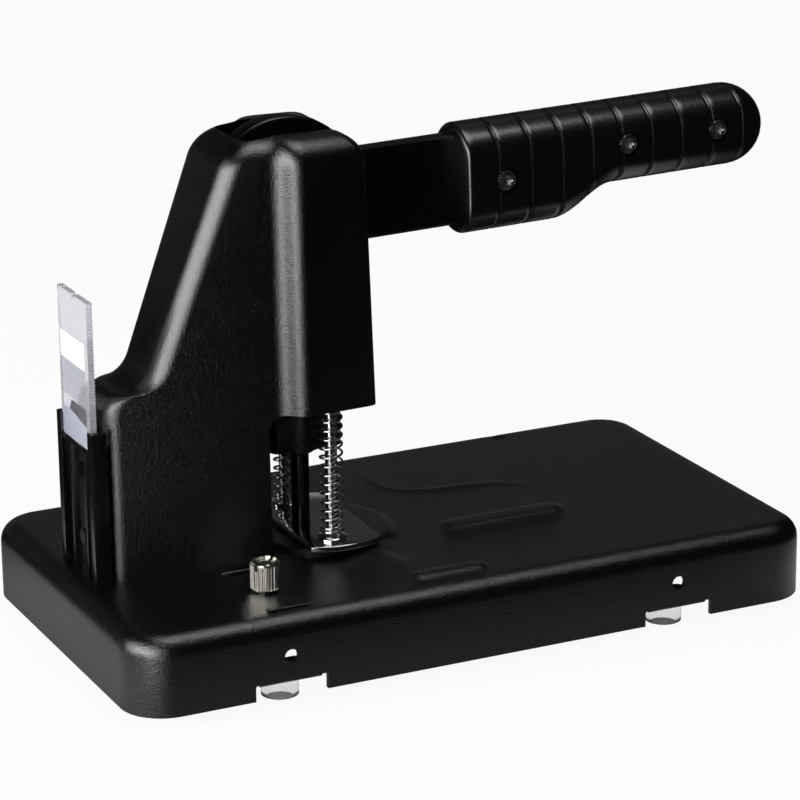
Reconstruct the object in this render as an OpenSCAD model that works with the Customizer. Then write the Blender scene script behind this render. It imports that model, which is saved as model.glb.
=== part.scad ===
// Single hole punch: a long lever drives one round punch through a stack of paper,
// while a sprung plate on two guide posts holds the stack down.
// The floor is at z = 0. Lengths along X run from the middle of the base, +X towards the grip.

/* [Base] */
// Length of the base, along the lever
base_l = 240; // [225:1:300]
// Depth of the base, across the lever
base_w = 134; // [124:1:180]
// Height of the base's side wall
base_h = 25.5; // [22:0.5:34]
// Thickness of the pressed sheet
sheet = 1.6; // [1.2:0.1:2]
// Radius of the base's corners, seen from above
base_corner = 14.5; // [11:0.5:25]
// Radius of the rolled edge round the top
base_roll = 6.6; // [4:0.2:10]
// Space between the side wall and the desk
foot_gap = 3.6; // [2:0.2:6]

/* [Feet and side holes] */
// Distance of the foot tabs from the middle, left and right
tab_reach = 68.7; // [50:1:90]
// Width of a folded foot tab
tab_w = 20.6; // [14:0.5:30]
// Length of a foot tab, inwards from the wall
tab_len = 17; // [14:0.5:24]
// Width of the relief cut on each side of a tab
tab_relief = 1.5; // [0.5:0.1:3]
// Height of a tab over the wall's edge
tab_rise = 4; // [2.5:0.5:7]
// Diameter of a foot
foot_d = 12; // [8:0.5:13]
// Diameter of the holes in the side walls
side_hole_d = 4.6; // [3:0.1:8]
// Height of the side holes over the wall's edge
side_hole_rise = 13; // [10:0.5:16]

/* [Punch and die] */
// Diameter of the punched hole
punch_d = 6; // [5:0.1:8]
// Place of the punch, left of the base's middle
punch_back = 35.3; // [25:0.1:45]
// Depth of the punch's tip in the die when the lever is down
punch_bite = 2; // [1:0.1:3]
// Diameter of the die bush
die_d = 16; // [14:0.5:20]
// Length of the die bush
die_len = 9.6; // [8:0.1:14]
// Thickness of the plate that holds the die
die_plate_t = 6; // [4:0.5:8]
// Radius of the raised round boss under the presser plate
boss_r = 24.5; // [22:0.5:28]
// Height of the raised boss
boss_h = 2.1; // [1.5:0.1:2.6]

/* [Presser plate] */
// Width of the presser plate, along the lever
plate_w = 25; // [22:0.5:28]
// Length of the presser plate between its round ends
plate_l = 47; // [45:0.5:50]
// How far the plate's ends bulge
plate_bulge = 3.4; // [2:0.1:5]
// Thickness of the presser plate
plate_t = 2; // [1.5:0.1:3]
// Distance between the two guide posts
post_span = 37.2; // [36.8:0.1:38]
// How far the posts stand in front of the punch
post_ahead = 2.8; // [1:0.1:3.5]
// Diameter of a guide post
post_d = 4; // [3:0.1:4.2]
// How far the plate drops below the carriage when the lever goes up
plate_drop = 3; // [2:0.1:4]

/* [Springs] */
// Outer diameter of a spring
spring_d = 8; // [7:0.1:8]
// Diameter of the spring's wire
wire_d = 0.8; // [0.6:0.1:0.9]
// Curls in each spring
spring_turns = 17; // [12:1:19]

/* [Head] */
// Height of the throat, from the base to the underside of the head
throat_h = 49.5; // [45:0.5:60]
// Depth of the throat behind the punch
throat_depth = 19.2; // [16:0.2:21]
// Height of the lever's pivot over the base
pivot_h = 114.4; // [110:0.2:125]
// How far the pivot lies behind the punch
pivot_back = 4.7; // [4:0.1:6]
// Diameter of the pivot shaft
shaft_d = 10; // [8:0.5:11]
// Length of the punch that stands out below the carriage
punch_out = 30.4; // [28:0.2:32]

/* [Lever] */
// Thickness of the lever bar
bar_t = 7; // [6:0.2:7.6]
// Height of the lever bar
bar_h = 30; // [24:0.5:32]
// How far the bar's middle lies below the pivot
bar_drop = 2.3; // [0:0.1:4]
// Radius of the lever's round end
hub_r = 27; // [25:0.5:27.5]
// Upward tilt of the lever at rest
lever_tilt = 1.4; // [0:0.1:4]
// Angle through which the lever lifts
lever_swing = 78; // [60:1:80]
// Distance of the drive pin from the pivot
crank_r = 16.5; // [15:0.1:16.8]
// Diameter of the drive pin
drive_pin_d = 5; // [4:0.1:5.4]

/* [Grip] */
// Distance of the grip's inner end from the pivot
grip_start = 60.5; // [55:0.5:80]
// Distance of the grip's free end from the pivot
grip_end = 175; // [165:1:220]
// Width of the grip across its flat sides
grip_w = 25; // [22:0.5:26]
// Height of the grip's top over the pivot
grip_top = 16; // [15:0.5:20]
// Height of the slim outer part of the grip
grip_slim_h = 27.4; // [27:0.2:30]
// Extra height of the grip's palm part
grip_palm_h = 9.3; // [6:0.1:12]
// Length of the palm part
grip_palm_l = 36; // [30:1:45]

/* [Cover] */
// Wall thickness of the cover
wall = 2.2; // [1.8:0.1:2.4]
// Length of the cover
cover_l = 90; // [88:0.5:92]
// Distance from the punch to the cover's front edge
cover_ahead = 18; // [17:0.2:20]
// Height of the cover over the base
cover_h = 138; // [136:0.5:140]
// Height of the step at the cover's back
step_h = 60.4; // [50:0.5:64]
// Length of the step's flat top
step_l = 14.4; // [12:0.2:15]
// Angle of the sloping back
slope_angle = 69; // [67:0.5:72]
// Half width of the cover at its back
back_half = 12.8; // [12:0.1:14]
// Half width of the cover where the head begins
mid_half = 22.6; // [22:0.1:23]
// Half width of the head
head_half = 27.6; // [27:0.1:29]
// Half width of the head's front edge
front_half = 26.4; // [26:0.1:27]
// Half width of the slot that the lever moves in
slot_half = 12.5; // [11:0.5:13]
// Inward lean of the cover's walls
draft = 1.3; // [0.5:0.1:1.6]

/* [Ruler] */
// Width of the ruler
ruler_w = 25.5; // [22:0.5:27]
// Length of the ruler
ruler_l = 48.5; // [40:0.5:70]
// Thickness of the ruler
ruler_t = 2; // [1.5:0.1:2.4]
// Depth of the holder behind the cover
holder_depth = 5.3; // [5.2:0.1:6]
// Height of the holder over the base
holder_h = 50.5; // [45:0.5:56]
// Depth of the ruler's seat below the holder's top
seat_depth = 7; // [6:0.5:20]

/* [Thumb screw] */
// Diameter of the thumb screw's head
thumb_d = 9.5; // [8:0.1:11]
// Height of the thumb screw's head
thumb_h = 9.6; // [8:0.1:12]
// Place of the thumb screw behind the punch
thumb_back = 30.7; // [28:0.1:33]
// Place of the thumb screw, in front of the middle line
thumb_side = 41; // [38:0.5:44]
// Distance between the two guide tabs of the ruler's track
track_w = 32.8; // [31:0.1:36]
// Length of a guide tab
track_l = 14; // [10:0.5:18]

/* [Hidden] */
$fn = 64;
eps = 0.5;

// Clearances
fit = 0.03;
run_fit = 0.04;
slide_gap = 0.1;
gap = 0.3;

// Heights over the floor
base_top = foot_gap + base_h;
boss_top = base_top + boss_h;
plate_z = boss_top + gap;
plate_top = plate_z + plate_t;
head_z = base_top + throat_h;
pivot_z = base_top + pivot_h;
cover_top = base_top + cover_h;

// Places along the base
punch_x = -punch_back;
post_x = punch_x + post_ahead;
pivot_x = punch_x - pivot_back;
throat_x = punch_x - throat_depth;
cover_front = punch_x + cover_ahead;
cover_back = cover_front - cover_l;
boss_x = punch_x + 7.3;
plate_x = punch_x + 5.7;
thumb_x = punch_x - thumb_back;

// Lever: its round end, drive pin and stop slot
crank_angle = -lever_swing / 2;
crank_x = pivot_x + crank_r * cos(crank_angle);
crank_z = pivot_z + crank_r * sin(crank_angle);
travel = 2 * crank_r * sin(lever_swing / 2);
stop_r = 18;
stop_d = 6;
stop_angle = 225;
stop_x = pivot_x + stop_r * cos(stop_angle);
stop_z = pivot_z + stop_r * sin(stop_angle);
bush_d = shaft_d + 4;

// Slot in the cover that the lever moves in
lever_slot_x = pivot_x - 18;
lever_slot_z = pivot_z - bar_drop - bar_h / 2 - 4;

// Carriage: block, wings that carry the posts, and cheeks that hold the drive pin's slot
block_half = 10;
block_z = boss_top - punch_bite + punch_out + 1.9;
block_top = pivot_z - hub_r - travel - 0.9;
block_back = punch_x - 13.5;
block_front = punch_x + 11.3;
wing_w = 12;
wing_z = head_z + 3;
wing_t = 9.4;
wing_top = wing_z + wing_t;
wing_reach = post_span / 2 + post_d / 2 + 1.8;
cheek_in = bar_t / 2 + 0.8;
cheek_back = pivot_x + bush_d / 2 + 1.5;
crank_slack = 0.4;
slot_back = crank_x - drive_pin_d / 2 - gap;
slot_front = pivot_x + crank_r + drive_pin_d / 2 + gap;
cheek_front = slot_front + 1.8;
cheek_step_z = lever_slot_z + 1.4;
cheek_top = crank_z + drive_pin_d / 2 + 5.4;
punch_shank_d = punch_d + 4;
punch_shank_l = 16;

// Frame: a bent channel with two tall sides
frame_t = 3;
frame_in = block_half + gap;
frame_out = frame_in + frame_t;
frame_front = cover_front - 6.2;
frame_back = throat_x - 27;
frame_foot_front = throat_x - wall - 1.3;
frame_top = cover_top - 9;
frame_low = head_z + 0.9;
frame_web = frame_back + 17;
frame_screw_x = [frame_back + 4, frame_web - 4];
frame_screw_y = 6;
frame_screw_d = 4;

// Posts and springs
flange_d = spring_d + 1.6;
flange_h = 1.6;
spring_z = plate_top + flange_h;
spring_l = wing_z - spring_z;
clip_t = 1;
post_top = wing_top + plate_drop + gap + clip_t + 2;

// Cover
slope_x = cover_back + step_l;
back_r = 7;
step_edge_r = 7;
slope_r = 11;
top_r = 9;
front_r = 3.2;
step_r = 11;
throat_r = 6;
step_back = throat_x + 7.5;
step_front = throat_x + 17.5;
cover_boss_d = 7;
cover_screw_d = 3;
rear_screw_x = cover_back + 9;
rear_screw_y = 5.5;
front_screw_x = throat_x - wall - cover_boss_d / 2 + 0.4;

// Grip and tang
grip_r = grip_slim_h / 2;
grip_axis = grip_top - grip_r;
tang_top = grip_top - 6.5;
tang_low = grip_top - grip_slim_h + 5.4;
tang_end = grip_end - 14;
grip_hollow = 0.1;
grip_screw_at = [[grip_start + 14.5, -2.8], [grip_start + 59.5, 3.1], [grip_end - 21, 3.3]];
grip_screw_d = 4;
grip_head_d = 7;
grip_head_deep = 3.2;

// Die plate and its screws
die_plate_l = 34;
die_plate_w = 24;
die_plate_x = plate_x;
die_screw_d = 3;
die_screw_head_d = 5.6;
die_screw_x = die_plate_w / 2 - 3.4;
die_screw_y = die_plate_l / 2 - 3.4;

// Ruler holder
holder_back = cover_back - holder_depth;
holder_wall = 2.2;
holder_half = ruler_w / 2 + gap + holder_wall;
holder_lip = 0.8;
ruler_play = 0.2;
ruler_x = holder_back + holder_lip + ruler_play;
holder_web = holder_depth - holder_lip - ruler_t - 2 * ruler_play;
ruler_z = base_top + holder_h - seat_depth + gap;
holder_screw_z = [base_top + 12, base_top + holder_h - 16];

// Thumb screw and clamp strap
thumb_stem_d = 4;
thumb_neck_d = 5;
strap_w = 12;
strap_l = track_w - 2.8;
strap_t = 2;
strap_boss_h = 4;
strap_z = base_top - sheet - gap - strap_t;

// Farthest point of the grip, and the shift that centres the whole punch on the origin
grip_end_x = pivot_x + (grip_end - grip_r) * cos(lever_tilt) - grip_axis * sin(lever_tilt) + grip_r;
shift_x = -(grip_end_x - base_l / 2) / 2;

// Points of an arc with its centre at [cx, cy]
function arc(cx, cy, r, from, to, n = 10) =
    [for (i = [0:n]) let (a = from + (to - from) * i / n) [cx + r * cos(a), cy + r * sin(a)]];

// Points that round the corner b between a and c
function rounded(a, b, c, r, n = 8) =
    let (u = (a - b) / norm(a - b), v = (c - b) / norm(c - b))
    let (half = acos(u * v) / 2, mid = (u + v) / norm(u + v))
    let (centre = b + mid * r / sin(half), reach = r / tan(half))
    let (p = b + u * reach - centre, q = b + v * reach - centre)
    let (from = atan2(p[1], p[0]), turn = atan2(p[0] * q[1] - p[1] * q[0], p * q))
    [for (i = [0:n]) let (t = from + turn * i / n) centre + r * [cos(t), sin(t)]];

// Corner list with a radius for each corner, as one outline
function rounded_path(pts, radii) =
    [for (i = [0:len(pts) - 1])
        let (n = len(pts), a = pts[(i + n - 1) % n], b = pts[i], c = pts[(i + 1) % n])
        each (radii[i] > 0 ? rounded(a, b, c, radii[i]) : [b])];

module place() {
    translate([shift_x, 0, 0]) children();
}

// Lays an outline drawn in X and Z into the upright plane, centred across the lever
module upright(t) {
    rotate([90, 0, 0]) linear_extrude(t, center = true) children();
}

module rod_y(d, from, to) {
    translate([0, from, 0]) rotate([-90, 0, 0]) cylinder(d = d, h = to - from);
}

module at_lever() {
    translate([pivot_x, 0, pivot_z]) rotate([0, -lever_tilt, 0]) children();
}

// Base

module pan_section(half, h, r) {
    translate([-half, -eps]) square([2 * half, h - r + eps]);
    translate([-half + r, 0]) square([2 * (half - r), h]);
    for (s = [-1, 1]) translate([s * (half - r), h - r]) circle(r);
}

module pan_body(l, w, h, corner, roll) {
    rotate([90, 0, 90]) linear_extrude(l - 2 * corner, center = true) pan_section(w / 2, h, roll);
    rotate([90, 0, 0]) linear_extrude(w - 2 * corner, center = true) pan_section(l / 2, h, roll);
    for (sx = [-1, 1], sy = [-1, 1])
        translate([sx * (l / 2 - corner), sy * (w / 2 - corner), 0])
            rotate_extrude() intersection() {
                pan_section(corner, h, roll);
                translate([0, -eps]) square([corner, h + eps]);
            }
}

module bead(l, w, h) {
    for (s = [-1, 1]) translate([s * (l - w) / 2, 0, 0]) cylinder(d1 = w, d2 = w - 2 * h, h = h);
    rotate([90, 0, 90]) linear_extrude(l - w, center = true)
        polygon([[-w / 2, 0], [w / 2, 0], [w / 2 - h, h], [-w / 2 + h, h]]);
}

module base_pan() {
    bead_h = 1.2;
    strip_y = -thumb_side;
    place() color([0.09, 0.09, 0.1]) {
        difference() {
            union() {
                translate([0, 0, foot_gap]) pan_body(base_l, base_w, base_h, base_corner, base_roll);
                translate([boss_x, 0, base_top - eps]) cylinder(r = boss_r, h = boss_h + eps);
                translate([-7.5, -base_w / 2 + 14.5, base_top]) bead(26, 7, bead_h);
                translate([31, -15, base_top]) bead(44, 9, bead_h);
            }
            translate([0, 0, foot_gap - sheet]) pan_body(base_l - 2 * sheet, base_w - 2 * sheet, base_h,
                base_corner - sheet, base_roll - sheet);
            translate([0, 0, foot_gap - 2]) cube([2 * base_l, 2 * base_w, 4], center = true);
            translate([boss_x, 0, base_top - 2 * sheet])
                cylinder(r = boss_r - sheet, h = boss_h + sheet);
            for (sx = [-1, 1], sy = [-1, 1]) {
                translate([sx * tab_reach, sy * base_w / 2, foot_gap])
                    cube([tab_w + 2 * tab_relief, 4 * sheet, 2 * tab_rise], center = true);
                translate([sx * tab_reach, sy * base_w / 2, foot_gap + side_hole_rise])
                    rotate([90, 0, 0]) cylinder(d = side_hole_d, h = 4 * sheet, center = true);
            }
            translate([punch_x, 0, boss_top - 2 * sheet]) cylinder(d = die_d + 2 * fit, h = 3 * sheet);
            for (sx = [-1, 1], sy = [-1, 1])
                translate([die_plate_x + sx * die_screw_x, sy * die_screw_y, boss_top - die_screw_head_d / 2])
                    cylinder(d1 = 0, d2 = die_screw_head_d + 2 * fit, h = die_screw_head_d / 2 + fit);
            for (sx = [-1, 1], sy = [-1, 1])
                translate([die_plate_x + sx * die_screw_x, sy * die_screw_y, boss_top - 2 * sheet])
                    cylinder(d = die_screw_d + 2 * fit, h = 3 * sheet);
            for (x = frame_screw_x, s = [-1, 1])
                translate([x, s * frame_screw_y, base_top - 2 * sheet])
                    cylinder(d = frame_screw_d + 2 * fit, h = 3 * sheet);
            for (p = cover_screw_places())
                translate([p[0], p[1], base_top - 2 * sheet])
                    cylinder(d = cover_screw_d + 2 * fit, h = 3 * sheet);
            translate([thumb_x, strip_y, base_top - 2 * sheet])
                cylinder(d = thumb_neck_d + 2 * run_fit, h = 3 * sheet);
            for (s = [-1, 1])
                translate([thumb_x, strip_y + s * track_w / 2, base_top])
                    cube([track_l, sheet, 4 * sheet], center = true);
        }
        for (sx = [-1, 1], sy = [-1, 1]) translate([sx * tab_reach, sy * base_w / 2, foot_gap + tab_rise])
            mirror([0, sy > 0 ? 1 : 0, 0]) difference() {
                translate([-tab_w / 2, 0, 0]) cube([tab_w, tab_len, sheet]);
                translate([0, tab_len - foot_d / 2 - 1, -sheet]) cylinder(d = foot_d / 2 + 2 * fit, h = 3 * sheet);
            }
        for (s = [-1, 1])
            translate([thumb_x, strip_y + s * (track_w / 2 + sheet), base_top - 3])
                cube([track_l, sheet, 6 - sheet], center = true);
    }
}

function cover_screw_places() =
    [[rear_screw_x, -rear_screw_y], [rear_screw_x, rear_screw_y], [front_screw_x, 0]];

module feet() {
    dome_r = 14;
    h = foot_gap + tab_rise;
    flat = 0.5;
    place() color([0.88, 0.9, 0.92, 0.8])
        for (sx = [-1, 1], sy = [-1, 1])
            translate([sx * tab_reach, sy * (base_w / 2 - tab_len + foot_d / 2 + 1), 0]) {
                intersection() {
                    cylinder(d = foot_d, h = h);
                    translate([0, 0, dome_r - flat]) sphere(dome_r);
                }
                cylinder(d = foot_d / 2, h = h + sheet);
                translate([0, 0, h + sheet]) cylinder(d = foot_d / 2 + 2, h = 1.2);
            }
}

// Die

module die_plate() {
    top = boss_top - sheet;
    place() color([0.5, 0.5, 0.52]) difference() {
        translate([die_plate_x - die_plate_w / 2, -die_plate_l / 2, top - die_plate_t])
            cube([die_plate_w, die_plate_l, die_plate_t]);
        translate([punch_x, 0, top - die_plate_t - eps]) cylinder(d = die_d + 2 * fit, h = die_plate_t + 2 * eps);
        for (sx = [-1, 1], sy = [-1, 1])
            translate([die_plate_x + sx * die_screw_x, sy * die_screw_y, top - die_plate_t - eps])
                cylinder(d = die_screw_d + 2 * fit, h = die_plate_t + 2 * eps);
    }
}

module die_bush() {
    relief_d = punch_d + 1.6;
    land = 4;
    place() color([0.72, 0.72, 0.74]) translate([punch_x, 0, boss_top - die_len]) difference() {
        union() {
            cylinder(d = die_d, h = die_len);
            cylinder(d = die_d + 3, h = die_len - sheet - die_plate_t - fit);
        }
        translate([0, 0, -eps]) cylinder(d = punch_d + 2 * run_fit, h = die_len + 2 * eps);
        translate([0, 0, -eps]) cylinder(d = relief_d, h = die_len - land + eps);
    }
}

module die_screws() {
    l = sheet + die_plate_t;
    place() color([0.3, 0.3, 0.32])
        for (sx = [-1, 1], sy = [-1, 1])
            translate([die_plate_x + sx * die_screw_x, sy * die_screw_y, boss_top - l]) {
                cylinder(d = die_screw_d, h = l);
                translate([0, 0, l - die_screw_head_d / 2])
                    cylinder(d1 = 0, d2 = die_screw_head_d, h = die_screw_head_d / 2);
            }
}

// Frame

function back_line_x(z, inset) =
    slope_x + (z - base_top - step_h) / tan(slope_angle) + inset / sin(slope_angle);

module frame_side() {
    knee_z = base_top + step_h - 8;
    inset = wall + 9;
    polygon(rounded_path(
        [[frame_back, base_top], [frame_foot_front, base_top], [frame_foot_front, frame_low + 4],
         [post_x - wing_w / 2 - slide_gap, frame_low + 4], [post_x - wing_w / 2 - slide_gap, frame_low],
         [frame_front, frame_low], [frame_front, frame_top],
         [back_line_x(frame_top, inset) + 2, frame_top],
         [max(frame_back, back_line_x(knee_z + 12, inset)), knee_z + 12], [frame_back, knee_z]],
        [0, 0, 4, 0, 0, 0, 6, 8, 0, 0]));
}

module frame() {
    window_top = wing_top + travel + 2;
    place() color([0.16, 0.16, 0.17]) difference() {
        union() {
            for (s = [-1, 1]) translate([0, s * (frame_in + frame_t / 2), 0]) upright(frame_t) frame_side();
            translate([frame_back, -frame_in - 0.1, base_top])
                cube([frame_web - frame_back, 2 * frame_in + 0.2, frame_t]);
        }
        translate([post_x - wing_w / 2 - slide_gap, -frame_out - eps, frame_low - eps])
            cube([wing_w + 2 * slide_gap, 2 * frame_out + 2 * eps, window_top - frame_low + eps]);
        translate([pivot_x, 0, pivot_z]) rod_y(shaft_d + 2 * fit, -frame_out - eps, frame_out + eps);
        translate([stop_x, 0, stop_z]) rod_y(stop_d + 2 * fit, -frame_out - eps, frame_out + eps);
        for (x = frame_screw_x, s = [-1, 1])
            translate([x, s * frame_screw_y, base_top - eps])
                cylinder(d = frame_screw_d + 2 * fit, h = frame_t + 2 * eps);
    }
}

module frame_screws() {
    place() color([0.75, 0.75, 0.77])
        for (x = frame_screw_x, s = [-1, 1]) translate([x, s * frame_screw_y, base_top - sheet]) {
            cylinder(d = frame_screw_d, h = sheet + frame_t + 1);
            translate([0, 0, -2.4]) cylinder(d = 7, h = 2.4);
        }
}

module stop_pin() {
    place() color([0.7, 0.7, 0.72]) translate([stop_x, 0, stop_z]) {
        rod_y(stop_d, -frame_out - 0.6, frame_out + 0.6);
        for (s = [-1, 1])
            rod_y(stop_d + 3, s * (cheek_in + frame_in) / 2 - (frame_in - cheek_in) / 2 + 0.1,
                s * (cheek_in + frame_in) / 2 + (frame_in - cheek_in) / 2 - 0.1);
    }
}

module pivot_shaft() {
    half = frame_out + 3;
    groove = 0.6;
    place() color([0.7, 0.7, 0.72]) translate([pivot_x, 0, pivot_z]) difference() {
        rod_y(shaft_d, -half, half);
        for (s = [-1, 1]) translate([0, s * (frame_out + 0.1 + clip_t / 2), 0]) difference() {
            rod_y(shaft_d + 1, -clip_t / 2 - 0.05, clip_t / 2 + 0.05);
            rod_y(shaft_d - 2 * groove, -clip_t, clip_t);
        }
    }
}

// Clip with an open side, lying in the XZ plane
module open_clip(inner_d, outer_d) {
    rotate([90, 0, 0]) linear_extrude(clip_t, center = true) difference() {
        circle(d = outer_d);
        circle(d = inner_d);
        translate([0, -inner_d * 0.35]) square([outer_d, inner_d * 0.7]);
    }
}

module shaft_clips() {
    place() color([0.6, 0.6, 0.62])
        for (s = [-1, 1]) translate([pivot_x, s * (frame_out + 0.1 + clip_t / 2), pivot_z])
            open_clip(shaft_d - 1.2 + 2 * fit, shaft_d + 5);
}

module shaft_spacers() {
    from = bar_t / 2 + 1.3;
    place() color([0.85, 0.83, 0.76]) translate([pivot_x, 0, pivot_z])
        for (s = [-1, 1]) difference() {
            rod_y(bush_d, s > 0 ? from : -frame_in + 0.05, s > 0 ? frame_in - 0.05 : -from);
            rod_y(shaft_d + 2 * fit, -frame_out, frame_out);
        }
}

// Lever

module lever_outline() {
    low = -bar_drop - bar_h / 2;
    circle(hub_r);
    translate([0, low]) square([grip_start + 4, bar_h]);
    polygon([[grip_start, low + 1], [grip_start + 6, low + 1], [grip_start + 16, tang_low],
             [tang_end, tang_low], [tang_end, tang_top], [grip_start, tang_top]]);
}

// Curved slot that rides over the stop pin
module stop_slot() {
    half_w = stop_d / 2 + gap;
    end_a = asin(half_w / stop_r);
    from = stop_angle - lever_swing - end_a - 0.5;
    to = stop_angle + end_a;
    difference() {
        polygon(concat([[0, 0]], [for (i = [0:8]) let (a = from + (to - from) * i / 8) 2 * stop_r * [cos(a), sin(a)]]));
        circle(stop_r - half_w);
        difference() {
            circle(3 * stop_r);
            circle(stop_r + half_w);
        }
    }
}

module lever_bar() {
    place() color([0.07, 0.07, 0.08]) at_lever() difference() {
        upright(bar_t) lever_outline();
        rod_y(bush_d + 2 * fit, -bar_t, bar_t);
        rotate([0, lever_tilt, 0]) {
            translate([crank_x - pivot_x, 0, crank_z - pivot_z]) rod_y(drive_pin_d + 2 * fit, -bar_t, bar_t);
            upright(2 * bar_t) stop_slot();
        }
        for (p = grip_screw_at) translate([p[0], 0, p[1]]) rod_y(grip_screw_d + 2 * fit, -bar_t, bar_t);
    }
}

module pivot_bush() {
    flange = 1;
    place() color([0.72, 0.55, 0.3]) translate([pivot_x, 0, pivot_z]) difference() {
        union() {
            rod_y(bush_d, -bar_t / 2 - flange, bar_t / 2 + flange);
            for (s = [-1, 1])
                rod_y(bush_d + 1.6, s > 0 ? bar_t / 2 + fit : -bar_t / 2 - flange, s > 0 ? bar_t / 2 + flange : -bar_t / 2 - fit);
        }
        rod_y(shaft_d + 2 * run_fit, -frame_out, frame_out);
    }
}

module drive_pin() {
    half = block_half - 0.5;
    place() color([0.7, 0.7, 0.72]) translate([crank_x, 0, crank_z]) rod_y(drive_pin_d, -half, half);
}

// Trough with a round bottom, along X, open upwards
module trough(r, l) {
    translate([-l / 2, 0, 0]) rotate([90, 0, 90]) linear_extrude(l) {
        circle(r);
        translate([-r, 0]) square([2 * r, 4 * r]);
    }
}

// Grip: one long rod with a round end, and a lower palm part that slopes up into it
module grip_body() {
    r = grip_r;
    palm_end = grip_start + grip_palm_l;
    slope_l = 18;
    slope = atan2(grip_palm_h, slope_l);
    intersection() {
        union() {
            translate([grip_start, 0, grip_axis]) rotate([0, 90, 0]) cylinder(r = r, h = grip_end - r - grip_start);
            translate([grip_end - r, 0, grip_axis]) rotate([90, 0, 0]) sphere(r);
            intersection() {
                translate([palm_end, 0, grip_axis - grip_palm_h]) trough(r, 4 * grip_palm_l);
                translate([palm_end, 0, grip_axis - grip_palm_h]) rotate([0, -slope, 0]) trough(r, 4 * grip_palm_l);
                translate([grip_start, -base_w / 2, grip_axis - 3 * r])
                    cube([grip_palm_l + slope_l - 0.5, base_w, 3 * r + 1]);
            }
        }
        translate([0, -grip_w / 2, -base_l]) cube([2 * base_l, grip_w, 2 * base_l]);
    }
}

module grip_half(s) {
    low = -bar_drop - bar_h / 2;
    at_lever() difference() {
        grip_body();
        translate([0, s * base_w / 2, 0]) cube([3 * base_l, base_w, base_l], center = true);
        upright(bar_t + 2 * grip_hollow) {
            translate([0, low - grip_hollow]) square([grip_start + 6, bar_h + 2 * grip_hollow]);
            polygon([[grip_start, low], [grip_start + 7, low], [grip_start + 17, tang_low - grip_hollow],
                     [tang_end + grip_hollow, tang_low - grip_hollow],
                     [tang_end + grip_hollow, tang_top + grip_hollow], [grip_start, tang_top + grip_hollow]]);
        }
        for (p = grip_screw_at) translate([p[0], 0, p[1]]) {
            rod_y(grip_screw_d + 2 * fit, -grip_w, grip_w);
            rod_y(grip_head_d + 1.6, -grip_w, -grip_w / 2 + grip_head_deep);
            rod_y(grip_head_d + 2 * fit, grip_w / 2 - grip_head_deep, grip_w);
        }
    }
}

module grip_near() {
    place() color([0.08, 0.08, 0.09]) grip_half(1);
}

module grip_far() {
    place() color([0.08, 0.08, 0.09]) grip_half(-1);
}

module grip_screws() {
    head = 2.4;
    seat = -grip_w / 2 + grip_head_deep;
    place() color([0.8, 0.8, 0.82]) at_lever()
        for (p = grip_screw_at) translate([p[0], 0, p[1]]) difference() {
            union() {
                rod_y(grip_screw_d, seat, grip_w / 2 - grip_head_deep + 2);
                rod_y(grip_head_d, seat - head, seat);
            }
            rod_y(3, seat - head - eps, seat - head + 1.5);
        }
}

module grip_nuts() {
    place() color([0.8, 0.8, 0.82]) at_lever()
        for (p = grip_screw_at) translate([p[0], 0, p[1]]) difference() {
            rod_y(grip_head_d, grip_w / 2 - grip_head_deep, grip_w / 2 - grip_head_deep + 2.4);
            rod_y(grip_screw_d + 2 * fit, 0, grip_w);
        }
}

// Carriage

module carriage() {
    slot_h = drive_pin_d + 2 * crank_slack;
    place() color([0.1, 0.1, 0.11]) difference() {
        union() {
            translate([block_back, -block_half, block_z])
                cube([block_front - block_back, 2 * block_half, block_top - block_z]);
            translate([post_x - wing_w / 2, -wing_reach, wing_z]) cube([wing_w, 2 * wing_reach, wing_t]);
            for (s = [-1, 1]) {
                translate([cheek_back, s > 0 ? cheek_in : -block_half, wing_z])
                    cube([block_front - cheek_back, block_half - cheek_in, cheek_top - wing_z]);
                translate([cheek_back, s > 0 ? cheek_in : -block_half, cheek_step_z])
                    cube([cheek_front - cheek_back, block_half - cheek_in, cheek_top - cheek_step_z]);
            }
        }
        translate([slot_back + slot_h / 2, 0, crank_z]) rod_y(slot_h, -frame_out, frame_out);
        translate([slot_front - slot_h / 2, 0, crank_z]) rod_y(slot_h, -frame_out, frame_out);
        translate([slot_back + slot_h / 2, -frame_out, crank_z - slot_h / 2])
            cube([slot_front - slot_back - slot_h, 2 * frame_out, slot_h]);
        translate([punch_x, 0, block_z - eps]) cylinder(d = punch_shank_d + 2 * fit, h = punch_shank_l + eps);
        for (s = [-1, 1]) translate([post_x, s * post_span / 2, wing_z - eps])
            cylinder(d = post_d + 2 * run_fit, h = wing_t + 2 * eps);
        translate([block_back - eps, 0, block_z + 8]) rotate([0, 90, 0])
            cylinder(d = 4 + 2 * fit, h = punch_x - block_back + eps);
    }
}

module punch_bit() {
    tip = boss_top - punch_bite;
    bore_d = punch_d - 1.6;
    bore_l = 12;
    place() color([0.14, 0.14, 0.15]) translate([punch_x, 0, tip]) difference() {
        union() {
            cylinder(d = punch_d, h = block_z - tip + 1);
            translate([0, 0, block_z - tip]) cylinder(d = punch_shank_d, h = punch_shank_l - fit);
        }
        translate([0, 0, -eps]) cylinder(d = bore_d, h = bore_l + eps);
    }
}

module punch_lock_screw() {
    place() color([0.3, 0.3, 0.32]) translate([block_back, 0, block_z + 8]) rotate([0, 90, 0]) difference() {
        cylinder(d = 4, h = punch_x - punch_shank_d / 2 - fit - block_back);
        translate([0, 0, -eps]) cylinder(d = 2, h = 2 + eps, $fn = 6);
    }
}

// Presser plate, posts and springs

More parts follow.
